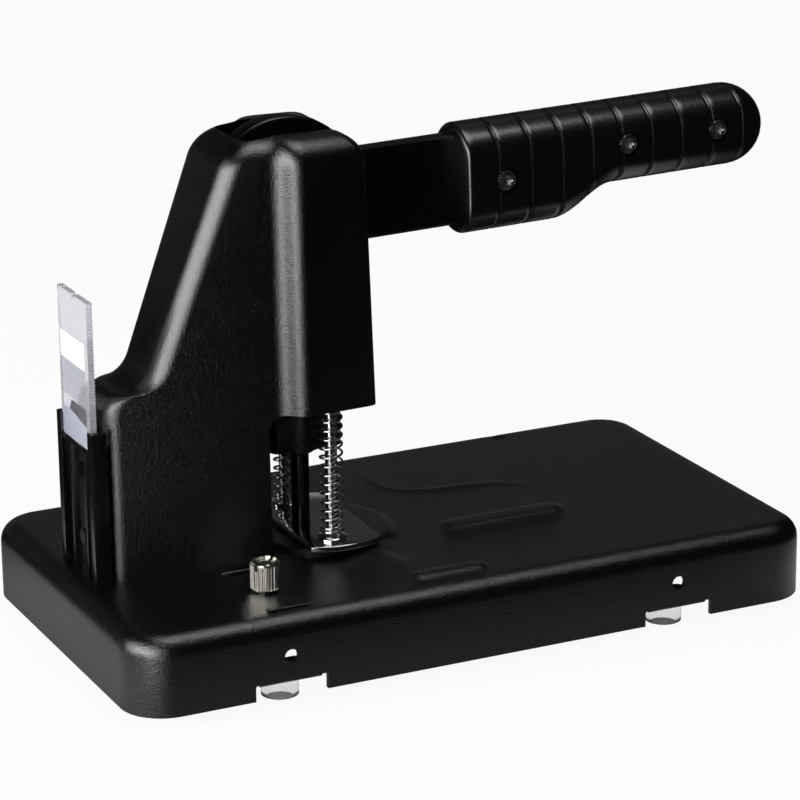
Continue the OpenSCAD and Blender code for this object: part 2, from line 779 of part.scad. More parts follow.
module presser_plate() {
    end_r = (plate_w * plate_w / 4 + plate_bulge * plate_bulge) / (2 * plate_bulge);
    side = plate_w / 2;
    place() color([0.8, 0.8, 0.82]) translate([plate_x, 0, plate_z]) difference() {
        intersection() {
            translate([-side, -plate_l / 2 - plate_bulge, 0]) cube([plate_w, plate_l + 2 * plate_bulge, plate_t]);
            for (s = [-1, 1]) translate([0, s * (plate_l / 2 + plate_bulge - end_r), 0]) {
                cylinder(r = end_r, h = plate_t);
                translate([-side, s > 0 ? -plate_l : 0, 0]) cube([plate_w, plate_l, plate_t]);
            }
        }
        translate([punch_x - plate_x, 0, -eps]) cylinder(d = punch_d + 0.5, h = plate_t + 2 * eps);
        for (s = [-1, 1]) translate([post_x - plate_x, s * post_span / 2, -eps])
            cylinder(d = post_d + 2 * fit, h = plate_t + 2 * eps);
    }
}

module post(s) {
    groove = 0.5;
    clip_z = wing_top + plate_drop + gap;
    place() color([0.8, 0.8, 0.82]) translate([post_x, s * post_span / 2, 0]) difference() {
        union() {
            translate([0, 0, plate_z]) cylinder(d = post_d, h = post_top - plate_z);
            translate([0, 0, plate_top]) cylinder(d = flange_d, h = flange_h);
        }
        translate([0, 0, clip_z - 0.05]) difference() {
            cylinder(d = post_d + 1, h = clip_t + 0.1);
            cylinder(d = post_d - 2 * groove, h = clip_t + 0.1);
        }
    }
}

module post_near() {
    post(-1);
}

module post_far() {
    post(1);
}

module post_clips() {
    clip_z = wing_top + plate_drop + gap;
    place() color([0.6, 0.6, 0.62])
        for (s = [-1, 1]) translate([post_x, s * post_span / 2, clip_z + clip_t / 2])
            rotate([90, 0, 0]) open_clip(post_d - 1 + 2 * fit, post_d + 3);
}

// One spring as a single tube: its curls close up over half a turn at each end
spring_rings = 8 * spring_turns;
spring_sides = 6;
coil_r = (spring_d - wire_d) / 2;
close_pitch = wire_d + 0.6;

// Height of the wire's middle, as a share of the turns; the end curls lie closer together
function coil_z(turn) =
    let (ends = 1, low = min(turn, ends), high = max(0, turn - (spring_turns - ends)))
    let (middle = turn - low - high)
    let (open_pitch = (spring_l - 2 * gap - wire_d - 2 * ends * close_pitch) / (spring_turns - 2 * ends))
    gap + wire_d / 2 + (low + high) * close_pitch + middle * open_pitch;

function coil_point(i) =
    let (turn = i / 8, a = 360 * turn)
    [coil_r * cos(a), coil_r * sin(a), coil_z(turn)];

function coil_ring(i) =
    let (p = coil_point(i), a = 360 * i / 8)
    let (before = coil_point(max(0, i - 1)), after = coil_point(min(spring_rings, i + 1)))
    let (along = (after - before) / norm(after - before), out = [cos(a), sin(a), 0])
    let (side = cross(along, out) / norm(cross(along, out)), lift = cross(side, along))
    [for (k = [0:spring_sides - 1]) let (b = 360 * k / spring_sides) p + wire_d / 2 * (cos(b) * lift + sin(b) * side)];

// Least space between one curl and the next, measured on the points of the wire's middle
spring_gap = min([for (i = [0:spring_rings - 8]) for (k = [6:10])
    if (i + k <= spring_rings) norm(coil_point(i + k) - coil_point(i))]) - wire_d;

module coil() {
    n = spring_sides;
    last = spring_rings;
    points = [for (i = [0:last]) each coil_ring(i)];
    sides = [for (i = [0:last - 1], k = [0:n - 1])
        let (a = i * n + k, b = i * n + (k + 1) % n)
        each [[a, a + n, b], [b, a + n, b + n]]];
    caps = [for (k = [1:n - 2]) each [[0, k, k + 1], [last * n, last * n + k + 1, last * n + k]]];
    polyhedron(points = points, faces = concat(sides, caps), convexity = 10);
}

module spring(s) {
    place() color([0.82, 0.82, 0.84]) translate([post_x, s * post_span / 2, spring_z]) coil();
}

module spring_near() {
    echo(spring_gap = spring_gap);
    spring(-1);
}

module spring_far() {
    spring(1);
}

// Cover

// Half width of the cover at its foot, at a place along its tapered back part
function cover_half(x) = back_half + (x - cover_back) / (step_back - cover_back) * (mid_half - back_half);

// Closed curve of the cover's wall at one height: drawn inwards by inset, with its back edge at back
function cover_ring(z, back, inset) =
    let (lean = (z - base_top) * tan(draft))
    let (x = [back + inset, step_back, step_front, cover_front - lean - inset])
    let (half = [for (w = [cover_half(back), mid_half, head_half, front_half]) w - lean - inset])
    let (near = [for (i = [0:3]) [x[i], -half[i]]], far = [for (i = [3:-1:0]) [x[i], half[i]]])
    let (r = [back_r, step_r, step_r, front_r])
    let (path = concat(near, far), radii = concat(r, [for (i = [3:-1:0]) r[i]]))
    [for (i = [0:7]) each rounded(path[(i + 7) % 8], path[i], path[(i + 1) % 8], radii[i], 5)];

// Heights and back edges of the wall from the foot to the top, as [height, back edge, inset]
function cover_levels(wall_in) =
    let (foot = base_top - (wall_in > 0 ? eps : 0), step_z = base_top + step_h - wall_in, top = cover_top - wall_in)
    let (edge_r = step_edge_r - wall_in, hollow_r = slope_r + wall_in, round_r = top_r - wall_in)
    let (slope_foot = back_line_x(step_z, wall_in) - hollow_r * tan(slope_angle / 2) - wall_in)
    concat(
        [[foot, cover_back, wall_in]],
        [for (i = [0:4]) let (a = 90 * i / 5)
            [step_z - edge_r + edge_r * sin(a), cover_back + edge_r * (1 - cos(a)), wall_in]],
        [for (i = [0:5]) let (a = slope_angle * i / 5)
            [step_z + hollow_r * (1 - cos(a)) + (i == 0 ? 0.01 : 0), slope_foot + hollow_r * sin(a), wall_in]],
        [for (i = [0:5]) let (a = 88 * i / 5, z = top - round_r + round_r * sin(a))
            [z, back_line_x(z, wall_in) - wall_in, wall_in + round_r * (1 - cos(a))]]);

module cover_form(wall_in) {
    levels = cover_levels(wall_in);
    rings = [for (l = levels) let (ring = cover_ring(l[0], l[1], l[2])) [for (q = ring) [q[0], q[1], l[0]]]];
    n = len(rings[0]);
    last = len(rings) - 1;
    sides = [for (i = [0:last - 1], k = [0:n - 1])
        let (a = i * n + k, b = i * n + (k + 1) % n)
        each [[a, a + n, b], [b, a + n, b + n]]];
    caps = [[for (k = [0:n - 1]) k], [for (k = [n - 1:-1:0]) last * n + k]];
    polyhedron(points = [for (ring = rings) each ring], faces = concat(sides, caps), convexity = 10);
}

module cover() {
    tall = head_z - base_top;
    slot_end = lever_slot_x + 4;
    place() color([0.08, 0.08, 0.09]) {
        difference() {
            cover_form(0);
            cover_form(wall);
            upright(2 * base_w) polygon(rounded_path(
                [[throat_x, base_top - 1], [0, base_top - 1], [0, head_z], [throat_x, head_z]], [0, 0, 0, throat_r]));
            translate([slot_end, -slot_half, cover_top - 2 * wall]) cube([base_l, 2 * slot_half, 4 * wall]);
            translate([lever_slot_x, -slot_half + 4, cover_top - 2 * wall]) cube([8, 2 * slot_half - 8, 4 * wall]);
            for (s = [-1, 1]) translate([slot_end, s * (slot_half - 4), cover_top - 2 * wall])
                cylinder(r = 4, h = 4 * wall);
            translate([cover_front - 12, -slot_half, lever_slot_z]) cube([12 + eps, 2 * slot_half, base_l]);
            for (z = holder_screw_z) translate([cover_back - eps, 0, z]) rotate([0, 90, 0])
                cylinder(d = 3 + 2 * fit, h = wall + 2 * eps);
        }
        difference() {
            intersection() {
                cover_form(0);
                translate([throat_x - wall, -base_w / 2, base_top]) cube([wall, base_w, tall + 2]);
            }
            for (s = [-1, 1]) translate([throat_x - 2 * wall, s > 0 ? frame_in - gap : -frame_out - gap, head_z - eps])
                cube([3 * wall, frame_t + 2 * gap, 4]);
        }
        for (p = cover_screw_places()) translate([p[0], p[1], base_top]) difference() {
            cylinder(d = cover_boss_d, h = 12);
            translate([0, 0, -eps]) cylinder(d = cover_screw_d + 2 * fit, h = 10 + eps);
        }
        for (s = [-1, 1]) difference() {
            translate([cover_back + wall - 0.2, s * rear_screw_y - 1, base_top])
                cube([rear_screw_x - cover_back - wall, 2, 12]);
            translate([rear_screw_x, s * rear_screw_y, base_top - eps])
                cylinder(d = cover_boss_d - 1, h = 13);
        }
    }
}

module cover_screws() {
    place() color([0.75, 0.75, 0.77])
        for (p = cover_screw_places()) translate([p[0], p[1], base_top - sheet]) {
            cylinder(d = cover_screw_d, h = sheet + 9);
            translate([0, 0, -2]) cylinder(d = 5.6, h = 2);
        }
}

// Ruler and its holder

module ruler_holder() {
    half = holder_half;
    seat_z = base_top + holder_h - seat_depth;
    groove = holder_depth - holder_web - holder_lip;
    place() color([0.07, 0.07, 0.08]) difference() {
        translate([holder_back, 0, base_top]) {
            translate([holder_depth - holder_web, -half, 0]) cube([holder_web, 2 * half, holder_h - 7]);
            for (s = [-1, 1]) {
                translate([0, s > 0 ? half - holder_wall : -half, 0]) cube([holder_depth, holder_wall, holder_h]);
                translate([0, s > 0 ? half - holder_wall - 1.2 : -half, 0])
                    cube([holder_lip, holder_wall + 1.2, holder_h]);
                translate([holder_lip, s * 6 - 0.6, 0]) cube([groove, 1.2, seat_z - base_top]);
            }
            translate([holder_lip, -half + holder_wall, seat_z - base_top - 1.5])
                cube([groove, 2 * (half - holder_wall), 1.5]);
        }
        for (z = holder_screw_z) translate([holder_back - eps, 0, z]) rotate([0, 90, 0])
            cylinder(d = 3 + 2 * fit, h = holder_depth + 2 * eps);
    }
}

module holder_screws() {
    head = 1.6;
    place() color([0.2, 0.2, 0.22])
        for (z = holder_screw_z) translate([cover_back - holder_web, 0, z]) rotate([0, 90, 0]) {
            cylinder(d = 3, h = holder_web + wall + 1);
            translate([0, 0, -head]) cylinder(d = 5, h = head);
        }
}

module ruler() {
    tooth = 0.5;
    pitch = 2;
    notch = 2.4;
    x = ruler_x;
    place() color([0.85, 0.88, 0.92, 0.5]) translate([x, 0, ruler_z]) difference() {
        translate([0, -ruler_w / 2, 0]) cube([ruler_t, ruler_w, ruler_l]);
        for (z = [pitch:pitch:ruler_l - pitch]) translate([ruler_t - tooth, -ruler_w / 2 - eps, z - pitch / 4])
            cube([tooth + eps, notch + eps, pitch / 2]);
        translate([-eps, 0, ruler_l]) rotate([0, 90, 0]) cylinder(d = notch, h = ruler_t + 2 * eps);
    }
}

// Thumb screw

module thumb_screw() {
    flutes = 24;
    dish = 1.2;
    slot = 1.4;
    place() color([0.78, 0.77, 0.74]) translate([thumb_x, -thumb_side, base_top]) difference() {
        union() {
            translate([0, 0, gap]) cylinder(d = thumb_d, h = thumb_h);
            translate([0, 0, -sheet]) cylinder(d = thumb_neck_d, h = sheet + gap + 1);
            translate([0, 0, -sheet - gap - strap_t - strap_boss_h - 3])
                cylinder(d = thumb_stem_d, h = sheet + strap_t + strap_boss_h + 6);
        }
        for (k = [0:flutes - 1]) rotate(360 * k / flutes)
            translate([thumb_d / 2, 0, gap - eps]) cylinder(d = 0.6, h = thumb_h + 2 * eps);
        translate([0, 0, gap + thumb_h - dish]) cylinder(d = thumb_d - 3, h = dish + eps);
        translate([-thumb_d, -slot / 2, gap + thumb_h - 2.4]) cube([2 * thumb_d, slot, 3]);
    }
}

module clamp_strap() {
    place() color([0.6, 0.6, 0.62]) translate([thumb_x, -thumb_side, strap_z]) difference() {
        union() {
            translate([-strap_w / 2, -strap_l / 2, 0]) cube([strap_w, strap_l, strap_t]);
            translate([0, 0, -strap_boss_h]) cylinder(d = thumb_stem_d + 4, h = strap_boss_h + eps);
        }
        translate([0, 0, -strap_boss_h - eps])
            cylinder(d = thumb_stem_d + 2 * run_fit, h = strap_boss_h + strap_t + 2 * eps);
    }
}

base_pan();
feet();
die_plate();
die_bush();
die_screws();
frame();
frame_screws();
stop_pin();
pivot_shaft();
shaft_clips();
shaft_spacers();
lever_bar();
pivot_bush();
drive_pin();
grip_near();
grip_far();
grip_screws();
grip_nuts();
carriage();
punch_bit();
punch_lock_screw();
presser_plate();
post_near();
post_far();
post_clips();
spring_near();
spring_far();
cover();
cover_screws();
ruler_holder();
holder_screws();
ruler();
thumb_screw();
clamp_strap();
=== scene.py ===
from math import acos, asin, atan2, copysign, cos, degrees, hypot, pi, radians, sin, sqrt, tan
import bpy
import bmesh
from mathutils import Matrix, Vector


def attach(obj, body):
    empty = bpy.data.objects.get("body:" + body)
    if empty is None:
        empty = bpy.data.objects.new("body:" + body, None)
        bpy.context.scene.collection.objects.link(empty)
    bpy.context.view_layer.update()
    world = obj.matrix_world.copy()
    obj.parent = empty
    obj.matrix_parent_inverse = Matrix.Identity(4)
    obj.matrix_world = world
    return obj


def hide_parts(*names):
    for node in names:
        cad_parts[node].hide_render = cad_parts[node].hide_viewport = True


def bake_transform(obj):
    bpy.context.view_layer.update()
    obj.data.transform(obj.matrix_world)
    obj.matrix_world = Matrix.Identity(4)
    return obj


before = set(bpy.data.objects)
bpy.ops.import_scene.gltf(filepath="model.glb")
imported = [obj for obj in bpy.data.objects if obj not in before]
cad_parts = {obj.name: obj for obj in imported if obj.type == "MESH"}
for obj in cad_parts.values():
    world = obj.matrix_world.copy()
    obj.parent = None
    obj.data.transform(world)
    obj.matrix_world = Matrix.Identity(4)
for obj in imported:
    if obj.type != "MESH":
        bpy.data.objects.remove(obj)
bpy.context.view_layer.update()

# A desk hole punch with a long lever. All settings are in millimetres and degrees,
# in the frame of the CAD parts: +X towards the grip, -Y towards the viewer, floor at z = 0.
mm = 0.001
baseMiddle = -7.4478
punchX = -42.748
cornerSigns = [(-1, -1), (-1, 1), (1, -1), (1, 1)]


# Helpers for modelling
def clearSelection():
    if bpy.context.mode != "OBJECT":
        bpy.ops.object.mode_set(mode="OBJECT")
    bpy.ops.object.select_all(action="DESELECT")


def makeActive(obj):
    clearSelection()
    obj.select_set(True)
    bpy.context.view_layer.objects.active = obj


def openMesh(obj, kind):
    makeActive(obj)
    bpy.ops.object.mode_set(mode="EDIT")
    bpy.ops.mesh.select_mode(type=kind)
    bpy.ops.mesh.select_all(action="DESELECT")
    return bmesh.from_edit_mesh(obj.data)


def closeMesh():
    bpy.ops.object.mode_set(mode="OBJECT")


def faceOutward():
    bpy.ops.mesh.select_all(action="SELECT")
    bpy.ops.mesh.normals_make_consistent(inside=False)


def named(name):
    obj = bpy.context.active_object
    obj.name = name
    obj.data.name = name
    return obj


def placed(name, data):
    obj = bpy.data.objects.new(name, data)
    bpy.context.scene.collection.objects.link(obj)
    return obj


def applyPlace(obj):
    makeActive(obj)
    bpy.ops.object.transform_apply(location=True, rotation=True, scale=True)
    return obj


def block(name, low, high):
    clearSelection()
    middle = [(a + b) / 2 * mm for a, b in zip(low, high)]
    bpy.ops.mesh.primitive_cube_add(size=1, location=middle, scale=[(b - a) * mm for a, b in zip(low, high)])
    return applyPlace(named(name))


def rod(name, radius, start, end, sides):
    clearSelection()
    a, b = Vector(start) * mm, Vector(end) * mm
    turn = (b - a).to_track_quat("Z", "Y").to_euler()
    bpy.ops.mesh.primitive_cylinder_add(vertices=sides, radius=radius * mm, depth=(b - a).length,
                                        location=(a + b) / 2, rotation=turn)
    return applyPlace(named(name))


def upright(name, radius, x, y, low, high, sides):
    return rod(name, radius, (x, y, low), (x, y, high), sides)


# A loop of points is extruded from ring to ring, and its open ends are filled
def loft(name, rings):
    clearSelection()
    bpy.ops.mesh.primitive_circle_add(vertices=len(rings[0]), radius=10 * mm)
    obj = named(name)
    mesh = openMesh(obj, "EDGE")
    for vert, point in zip(mesh.verts, rings[0]):
        vert.co = Vector(point) * mm
    slots = {i: i for i in range(len(rings[0]))}
    bpy.ops.mesh.select_all(action="SELECT")
    for ring in rings[1:]:
        bpy.ops.mesh.extrude_edges_move()
        mesh = bmesh.from_edit_mesh(obj.data)
        fresh = {}
        for vert in mesh.verts:
            if vert.select:
                old = next(o for o in (e.other_vert(vert) for e in vert.link_edges) if not o.select)
                fresh[vert.index] = slots[old.index]
                vert.co = Vector(ring[slots[old.index]]) * mm
        slots = fresh
    bmesh.update_edit_mesh(obj.data)
    bpy.ops.mesh.edge_face_add()
    bpy.ops.mesh.select_all(action="DESELECT")
    mesh = bmesh.from_edit_mesh(obj.data)
    for edge in mesh.edges:
        edge.select_set(edge.is_boundary and all(v.index < len(rings[0]) for v in edge.verts))
    bpy.ops.mesh.edge_face_add()
    faceOutward()
    closeMesh()
    return obj


# An outline drawn in two axes and extruded along the third
def slab(name, points, low, high, across="Z"):
    order = {"Z": (0, 1, 2), "Y": (0, 2, 1), "X": (2, 0, 1)}[across]
    return loft(name, [[[(*point, depth)[i] for i in order] for point in points] for depth in (low, high)])


# A profile of radius and height turned round an upright line
def turned(name, profile, x, y, sides, wave=lambda k, z: 1):
    rings = []
    for radius, z in profile:
        spokes = [(radius * wave(k, z), 2 * pi * k / sides) for k in range(sides)]
        rings.append([(x + r * cos(a), y + r * sin(a), z) for r, a in spokes])
    return loft(name, rings)


def useModifier(obj, kind, **settings):
    makeActive(obj)
    modifier = obj.modifiers.new(kind.title(), kind)
    for key, value in settings.items():
        setattr(modifier, key, value)
    bpy.ops.object.modifier_apply(modifier=modifier.name)
    return obj


def joined(name, parts):
    makeActive(parts[0])
    for part in parts[1:]:
        part.select_set(True)
    if len(parts) > 1:
        bpy.ops.object.join()
    return named(name)


def carve(obj, cutters, how="DIFFERENCE"):
    tool = joined("carveTool", cutters)
    useModifier(obj, "BOOLEAN", object=tool, operation=how, solver="EXACT", use_self=how == "DIFFERENCE")
    bpy.data.objects.remove(tool)
    return obj


def softEdges(obj, width, angle=38):
    return useModifier(obj, "BEVEL", width=width * mm, segments=2, limit_method="ANGLE",
                       angle_limit=radians(angle), use_clamp_overlap=True)


def bevelWhere(obj, width, segments, test):
    mesh = openMesh(obj, "EDGE")
    for edge in mesh.edges:
        a, b = edge.verts[0].co / mm, edge.verts[1].co / mm
        edge.select_set(bool(test((a + b) / 2, (b - a).normalized())))
    bmesh.update_edit_mesh(obj.data)
    bpy.ops.mesh.bevel(offset=width * mm, segments=segments, affect="EDGES", clamp_overlap=True)
    closeMesh()
    return obj


def finishPiece(obj, finish, body, node, angle, tidy=True):
    if tidy:
        openMesh(obj, "VERT")
        bpy.ops.mesh.select_all(action="SELECT")
        bpy.ops.mesh.remove_doubles(threshold=0.002 * mm)
        faceOutward()
        closeMesh()
    makeActive(obj)
    bpy.ops.object.shade_smooth_by_angle(angle=radians(angle))
    obj.data.materials.clear()
    obj.data.materials.append(finish)
    if body:
        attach(obj, body)
    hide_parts(node)
    return obj


def soft(t):
    t = min(1.0, max(0.0, t))
    return t * t * (3 - 2 * t)


# Points of a circle's arc, from one angle in degrees to another
def arc(x, y, radius, start, end, steps):
    angles = [radians(start + (end - start) * i / steps) for i in range(steps + 1)]
    return [(x + radius * cos(a), y + radius * sin(a)) for a in angles]


def roundCorner(a, b, c, radius, steps):
    a, b, c = Vector(a), Vector(b), Vector(c)
    u, v = (a - b).normalized(), (c - b).normalized()
    half = acos(max(-1, min(1, u.dot(v)))) / 2
    centre = b + (u + v).normalized() * radius / sin(half)
    p, q = b + u * radius / tan(half) - centre, b + v * radius / tan(half) - centre
    start, turn = atan2(p.y, p.x), atan2(p.x * q.y - p.y * q.x, p.dot(q))
    angles = [start + turn * i / steps for i in range(steps + 1)]
    return [(centre.x + radius * cos(a), centre.y + radius * sin(a)) for a in angles]


def roundedPath(points, radii, steps):
    path = []
    for i, (point, radius) in enumerate(zip(points, radii)):
        before, after = points[i - 1], points[(i + 1) % len(points)]
        path += roundCorner(before, point, after, radius, steps) if radius > 0 else [tuple(point)]
    return path


# Helpers for materials. A wire is one output socket of a node.
class Wire:
    def __init__(self, paint, socket):
        self.paint = paint
        self.socket = socket

    def sum(self, how, first, second):
        return self.paint.node("ShaderNodeMath", {"operation": how}, {0: first, 1: second})

    def highest(self, other):
        return self.sum("MAXIMUM", self, other)

    def limited(self):
        return self.paint.node("ShaderNodeClamp", {}, {"Value": self})

    def __add__(self, other):
        return self.sum("ADD", self, other)

    def __radd__(self, other):
        return self.sum("ADD", other, self)

    def __sub__(self, other):
        return self.sum("SUBTRACT", self, other)

    def __rsub__(self, other):
        return self.sum("SUBTRACT", other, self)

    def __mul__(self, other):
        return self.sum("MULTIPLY", self, other)

    def __rmul__(self, other):
        return self.sum("MULTIPLY", other, self)

    def __pow__(self, other):
        return self.sum("POWER", self, other)


class Paint:
    def __init__(self, name):
        self.material = bpy.data.materials.new(name)
        self.material.use_nodes = True
        self.tree = self.material.node_tree
        self.tree.nodes.clear()
        self.output = self.tree.nodes.new("ShaderNodeOutputMaterial")

    def node(self, kind, settings=None, inputs=None, output=0):
        made = self.tree.nodes.new(kind)
        for key, value in (settings or {}).items():
            if key == "stops":
                while len(made.color_ramp.elements) < len(value):
                    made.color_ramp.elements.new(0.5)
                for element, (place, colour) in zip(made.color_ramp.elements, value):
                    element.position = place
                    element.color = (*colour, 1) if isinstance(colour, tuple) else (colour, colour, colour, 1)
            else:
                setattr(made, key, value)
        for key, value in (inputs or {}).items():
            if isinstance(value, Wire):
                self.tree.links.new(value.socket, made.inputs[key])
            elif isinstance(value, tuple) and made.inputs[key].type == "RGBA" and len(value) == 3:
                made.inputs[key].default_value = (*value, 1)
            else:
                made.inputs[key].default_value = value
        return Wire(self, made.outputs[output])

    def place(self):
        return self.node("ShaderNodeTexCoord", output="Object")

    def noise(self, size, detail, roughness=0.5, stretch=None):
        where = self.place()
        if stretch:
            where = self.node("ShaderNodeMapping", {}, {"Vector": where, "Scale": stretch})
        return self.node("ShaderNodeTexNoise", {}, {"Vector": where, "Scale": 1 / (size * mm), "Detail": detail,
                                                    "Roughness": roughness}, "Fac")

    def ramp(self, value, stops):
        return self.node("ShaderNodeValToRGB", {"stops": stops}, {"Fac": value}, "Color")

    def mixed(self, factor, first, second):
        return self.node("ShaderNodeMix", {"data_type": "RGBA"}, {0: factor, 6: first, 7: second}, 2)

    def bump(self, height, depth, strength):
        sockets = {"Height": height, "Distance": depth * mm, "Strength": strength}
        return self.node("ShaderNodeBump", {}, sockets, "Normal")

    def surface(self, **inputs):
        sockets = {key.replace("_", " "): value for key, value in inputs.items()}
        shader = self.node("ShaderNodeBsdfPrincipled", {}, sockets)
        self.tree.links.new(shader.socket, self.output.inputs["Surface"])
        return self.material


# Black coat: fine orange-peel grain, faint mottling of the gloss and a little dust in random specks
def blackCoat(name, s):
    paint = Paint(name)
    grain, cloud = paint.noise(s["grain"], 2, 0.6), paint.noise(s["cloud"], 3)
    speck = paint.ramp(paint.noise(s["grain"] * 0.7, 1), s["speckStops"])
    rough = s["rough"] + (cloud - 0.5) * s["roughSpread"] + (grain - 0.5) * s["grainRough"]
    return paint.surface(Base_Color=paint.mixed(speck * s["speckle"], s["colour"], s["dust"]), Roughness=rough,
                         IOR=s["ior"], Specular_IOR_Level=s["gloss"],
                         Normal=paint.bump(grain, s["depth"], s["strength"]))


# Bare or plated metal: slight tone change, fine brushing or pitting
def bareMetal(name, s):
    paint = Paint(name)
    brush, cloud = paint.noise(s["grain"], 3, 0.6, s.get("stretch")), paint.noise(s["cloud"], 2)
    return paint.surface(Base_Color=paint.mixed(cloud, s["dark"], s["light"]), Metallic=1.0,
                         Roughness=s["rough"] + (brush - 0.5) * s["roughSpread"],
                         Normal=paint.bump(brush, s["depth"], 0.6))


# Clear, frosted or plain moulded plastic
def moulding(name, s):
    paint = Paint(name)
    ripple, cloud = paint.noise(s["ripple"], 2), paint.noise(s["cloud"], 2)
    return paint.surface(Base_Color=paint.mixed(cloud, s["dark"], s["light"]),
                         Roughness=s["rough"] + (ripple - 0.5) * 0.06, Transmission_Weight=s["clear"], IOR=s["ior"],
                         Normal=paint.bump(ripple, s["depth"], 0.5))


coatBase = {"ior": 1.6, "gloss": 1.0, "strength": 1.0, "grainRough": 0.06, "speckStops": [(0.62, 0.0), (0.78, 1.0)]}
metalBase = {"roughSpread": 0.2, "depth": 0.01}
plasticBase = {"rough": 0.4, "clear": 0.0, "ior": 1.5, "depth": 0.01}
coatPaint = blackCoat("powderCoat", {**coatBase, "grain": 0.6, "cloud": 26, "speckle": 0.35,
    "colour": (0.0008, 0.0008, 0.0009), "dust": (0.006, 0.006, 0.0065), "rough": 0.24, "roughSpread": 0.05,
    "depth": 0.19})
coverPaint = blackCoat("coverCoat", {**coatBase, "grain": 0.55, "cloud": 30, "speckle": 0.25,
    "colour": (0.0005, 0.0005, 0.0006), "dust": (0.003, 0.003, 0.0033), "rough": 0.23, "roughSpread": 0.04,
    "grainRough": 0.05, "depth": 0.17})
gripPaint = blackCoat("gripMoulding", {**coatBase, "grain": 0.5, "cloud": 18, "speckle": 0.2,
    "colour": (0.0012, 0.0012, 0.0014), "dust": (0.004, 0.004, 0.0045), "rough": 0.27, "roughSpread": 0.07,
    "depth": 0.03, "strength": 0.8})
darkSteelPaint = blackCoat("leverCoat", {**coatBase, "grain": 0.6, "cloud": 14, "speckle": 0.2,
    "colour": (0.0008, 0.0008, 0.0009), "dust": (0.004, 0.004, 0.0045), "rough": 0.27, "roughSpread": 0.07,
    "ior": 1.5, "gloss": 0.6, "depth": 0.025, "strength": 0.8})
oiledSteelPaint = bareMetal("oiledSteel", {**metalBase, "grain": 0.5, "cloud": 8, "dark": (0.03, 0.03, 0.033),
    "light": (0.055, 0.054, 0.056), "rough": 0.3, "stretch": (1, 1, 0.08)})
chromePaint = bareMetal("chromePlate", {**metalBase, "grain": 1.4, "cloud": 12, "dark": (0.78, 0.78, 0.8),
    "light": (0.88, 0.88, 0.9), "rough": 0.1, "roughSpread": 0.08, "depth": 0.006})
springPaint = bareMetal("springWire", {**metalBase, "grain": 0.3, "cloud": 6, "dark": (0.72, 0.72, 0.74),
    "light": (0.86, 0.86, 0.88), "rough": 0.16, "roughSpread": 0.12, "depth": 0.004})
nickelPaint = bareMetal("nickelPlate", {**metalBase, "grain": 0.5, "cloud": 5, "dark": (0.7, 0.66, 0.59),
    "light": (0.9, 0.87, 0.8), "rough": 0.2, "roughSpread": 0.16, "depth": 0.008, "stretch": (1, 1, 0.2)})
steelPaint = bareMetal("brightSteel", {**metalBase, "grain": 0.4, "cloud": 7, "dark": (0.5, 0.5, 0.51),
    "light": (0.66, 0.66, 0.67), "rough": 0.28})
brassPaint = bareMetal("bushBronze", {**metalBase, "grain": 0.5, "cloud": 5, "dark": (0.5, 0.34, 0.14),
    "light": (0.66, 0.47, 0.22), "rough": 0.32})
whitePaint = moulding("whiteSpacer", {**plasticBase, "ripple": 3, "cloud": 6, "dark": (0.72, 0.7, 0.62),
    "light": (0.8, 0.78, 0.71), "rough": 0.42})
rubberPaint = moulding("milkyRubber", {**plasticBase, "ripple": 2, "cloud": 4, "dark": (0.74, 0.75, 0.75),
    "light": (0.8, 0.81, 0.81), "rough": 0.16, "clear": 0.92, "ior": 1.08})
acrylicPaint = moulding("clearAcrylic", {**plasticBase, "ripple": 6, "cloud": 12, "dark": (0.84, 0.84, 0.89),
    "light": (0.88, 0.88, 0.93), "rough": 0.12, "clear": 0.7, "ior": 1.35, "depth": 0.004})
frostPaint = moulding("frostedAcrylic", {**plasticBase, "ripple": 0.6, "cloud": 2, "dark": (0.93, 0.93, 0.95),
    "light": (0.98, 0.98, 0.99), "rough": 0.45, "clear": 0.1, "ior": 1.4, "depth": 0.03})
footFrostPaint = moulding("blueFrost", {**plasticBase, "ripple": 0.5, "cloud": 3, "dark": (0.38, 0.39, 0.47),
    "light": (0.45, 0.46, 0.54), "clear": 0.15, "ior": 1.4, "depth": 0.02})
greyPaint = moulding("greyInlay", {**plasticBase, "ripple": 1.2, "cloud": 5, "dark": (0.07, 0.073, 0.08),
    "light": (0.15, 0.154, 0.165)})
ribPaint = moulding("ribInlay", {**plasticBase, "ripple": 1.2, "cloud": 5, "dark": (0.25, 0.26, 0.3),
    "light": (0.33, 0.34, 0.38)})
print("materials ready")


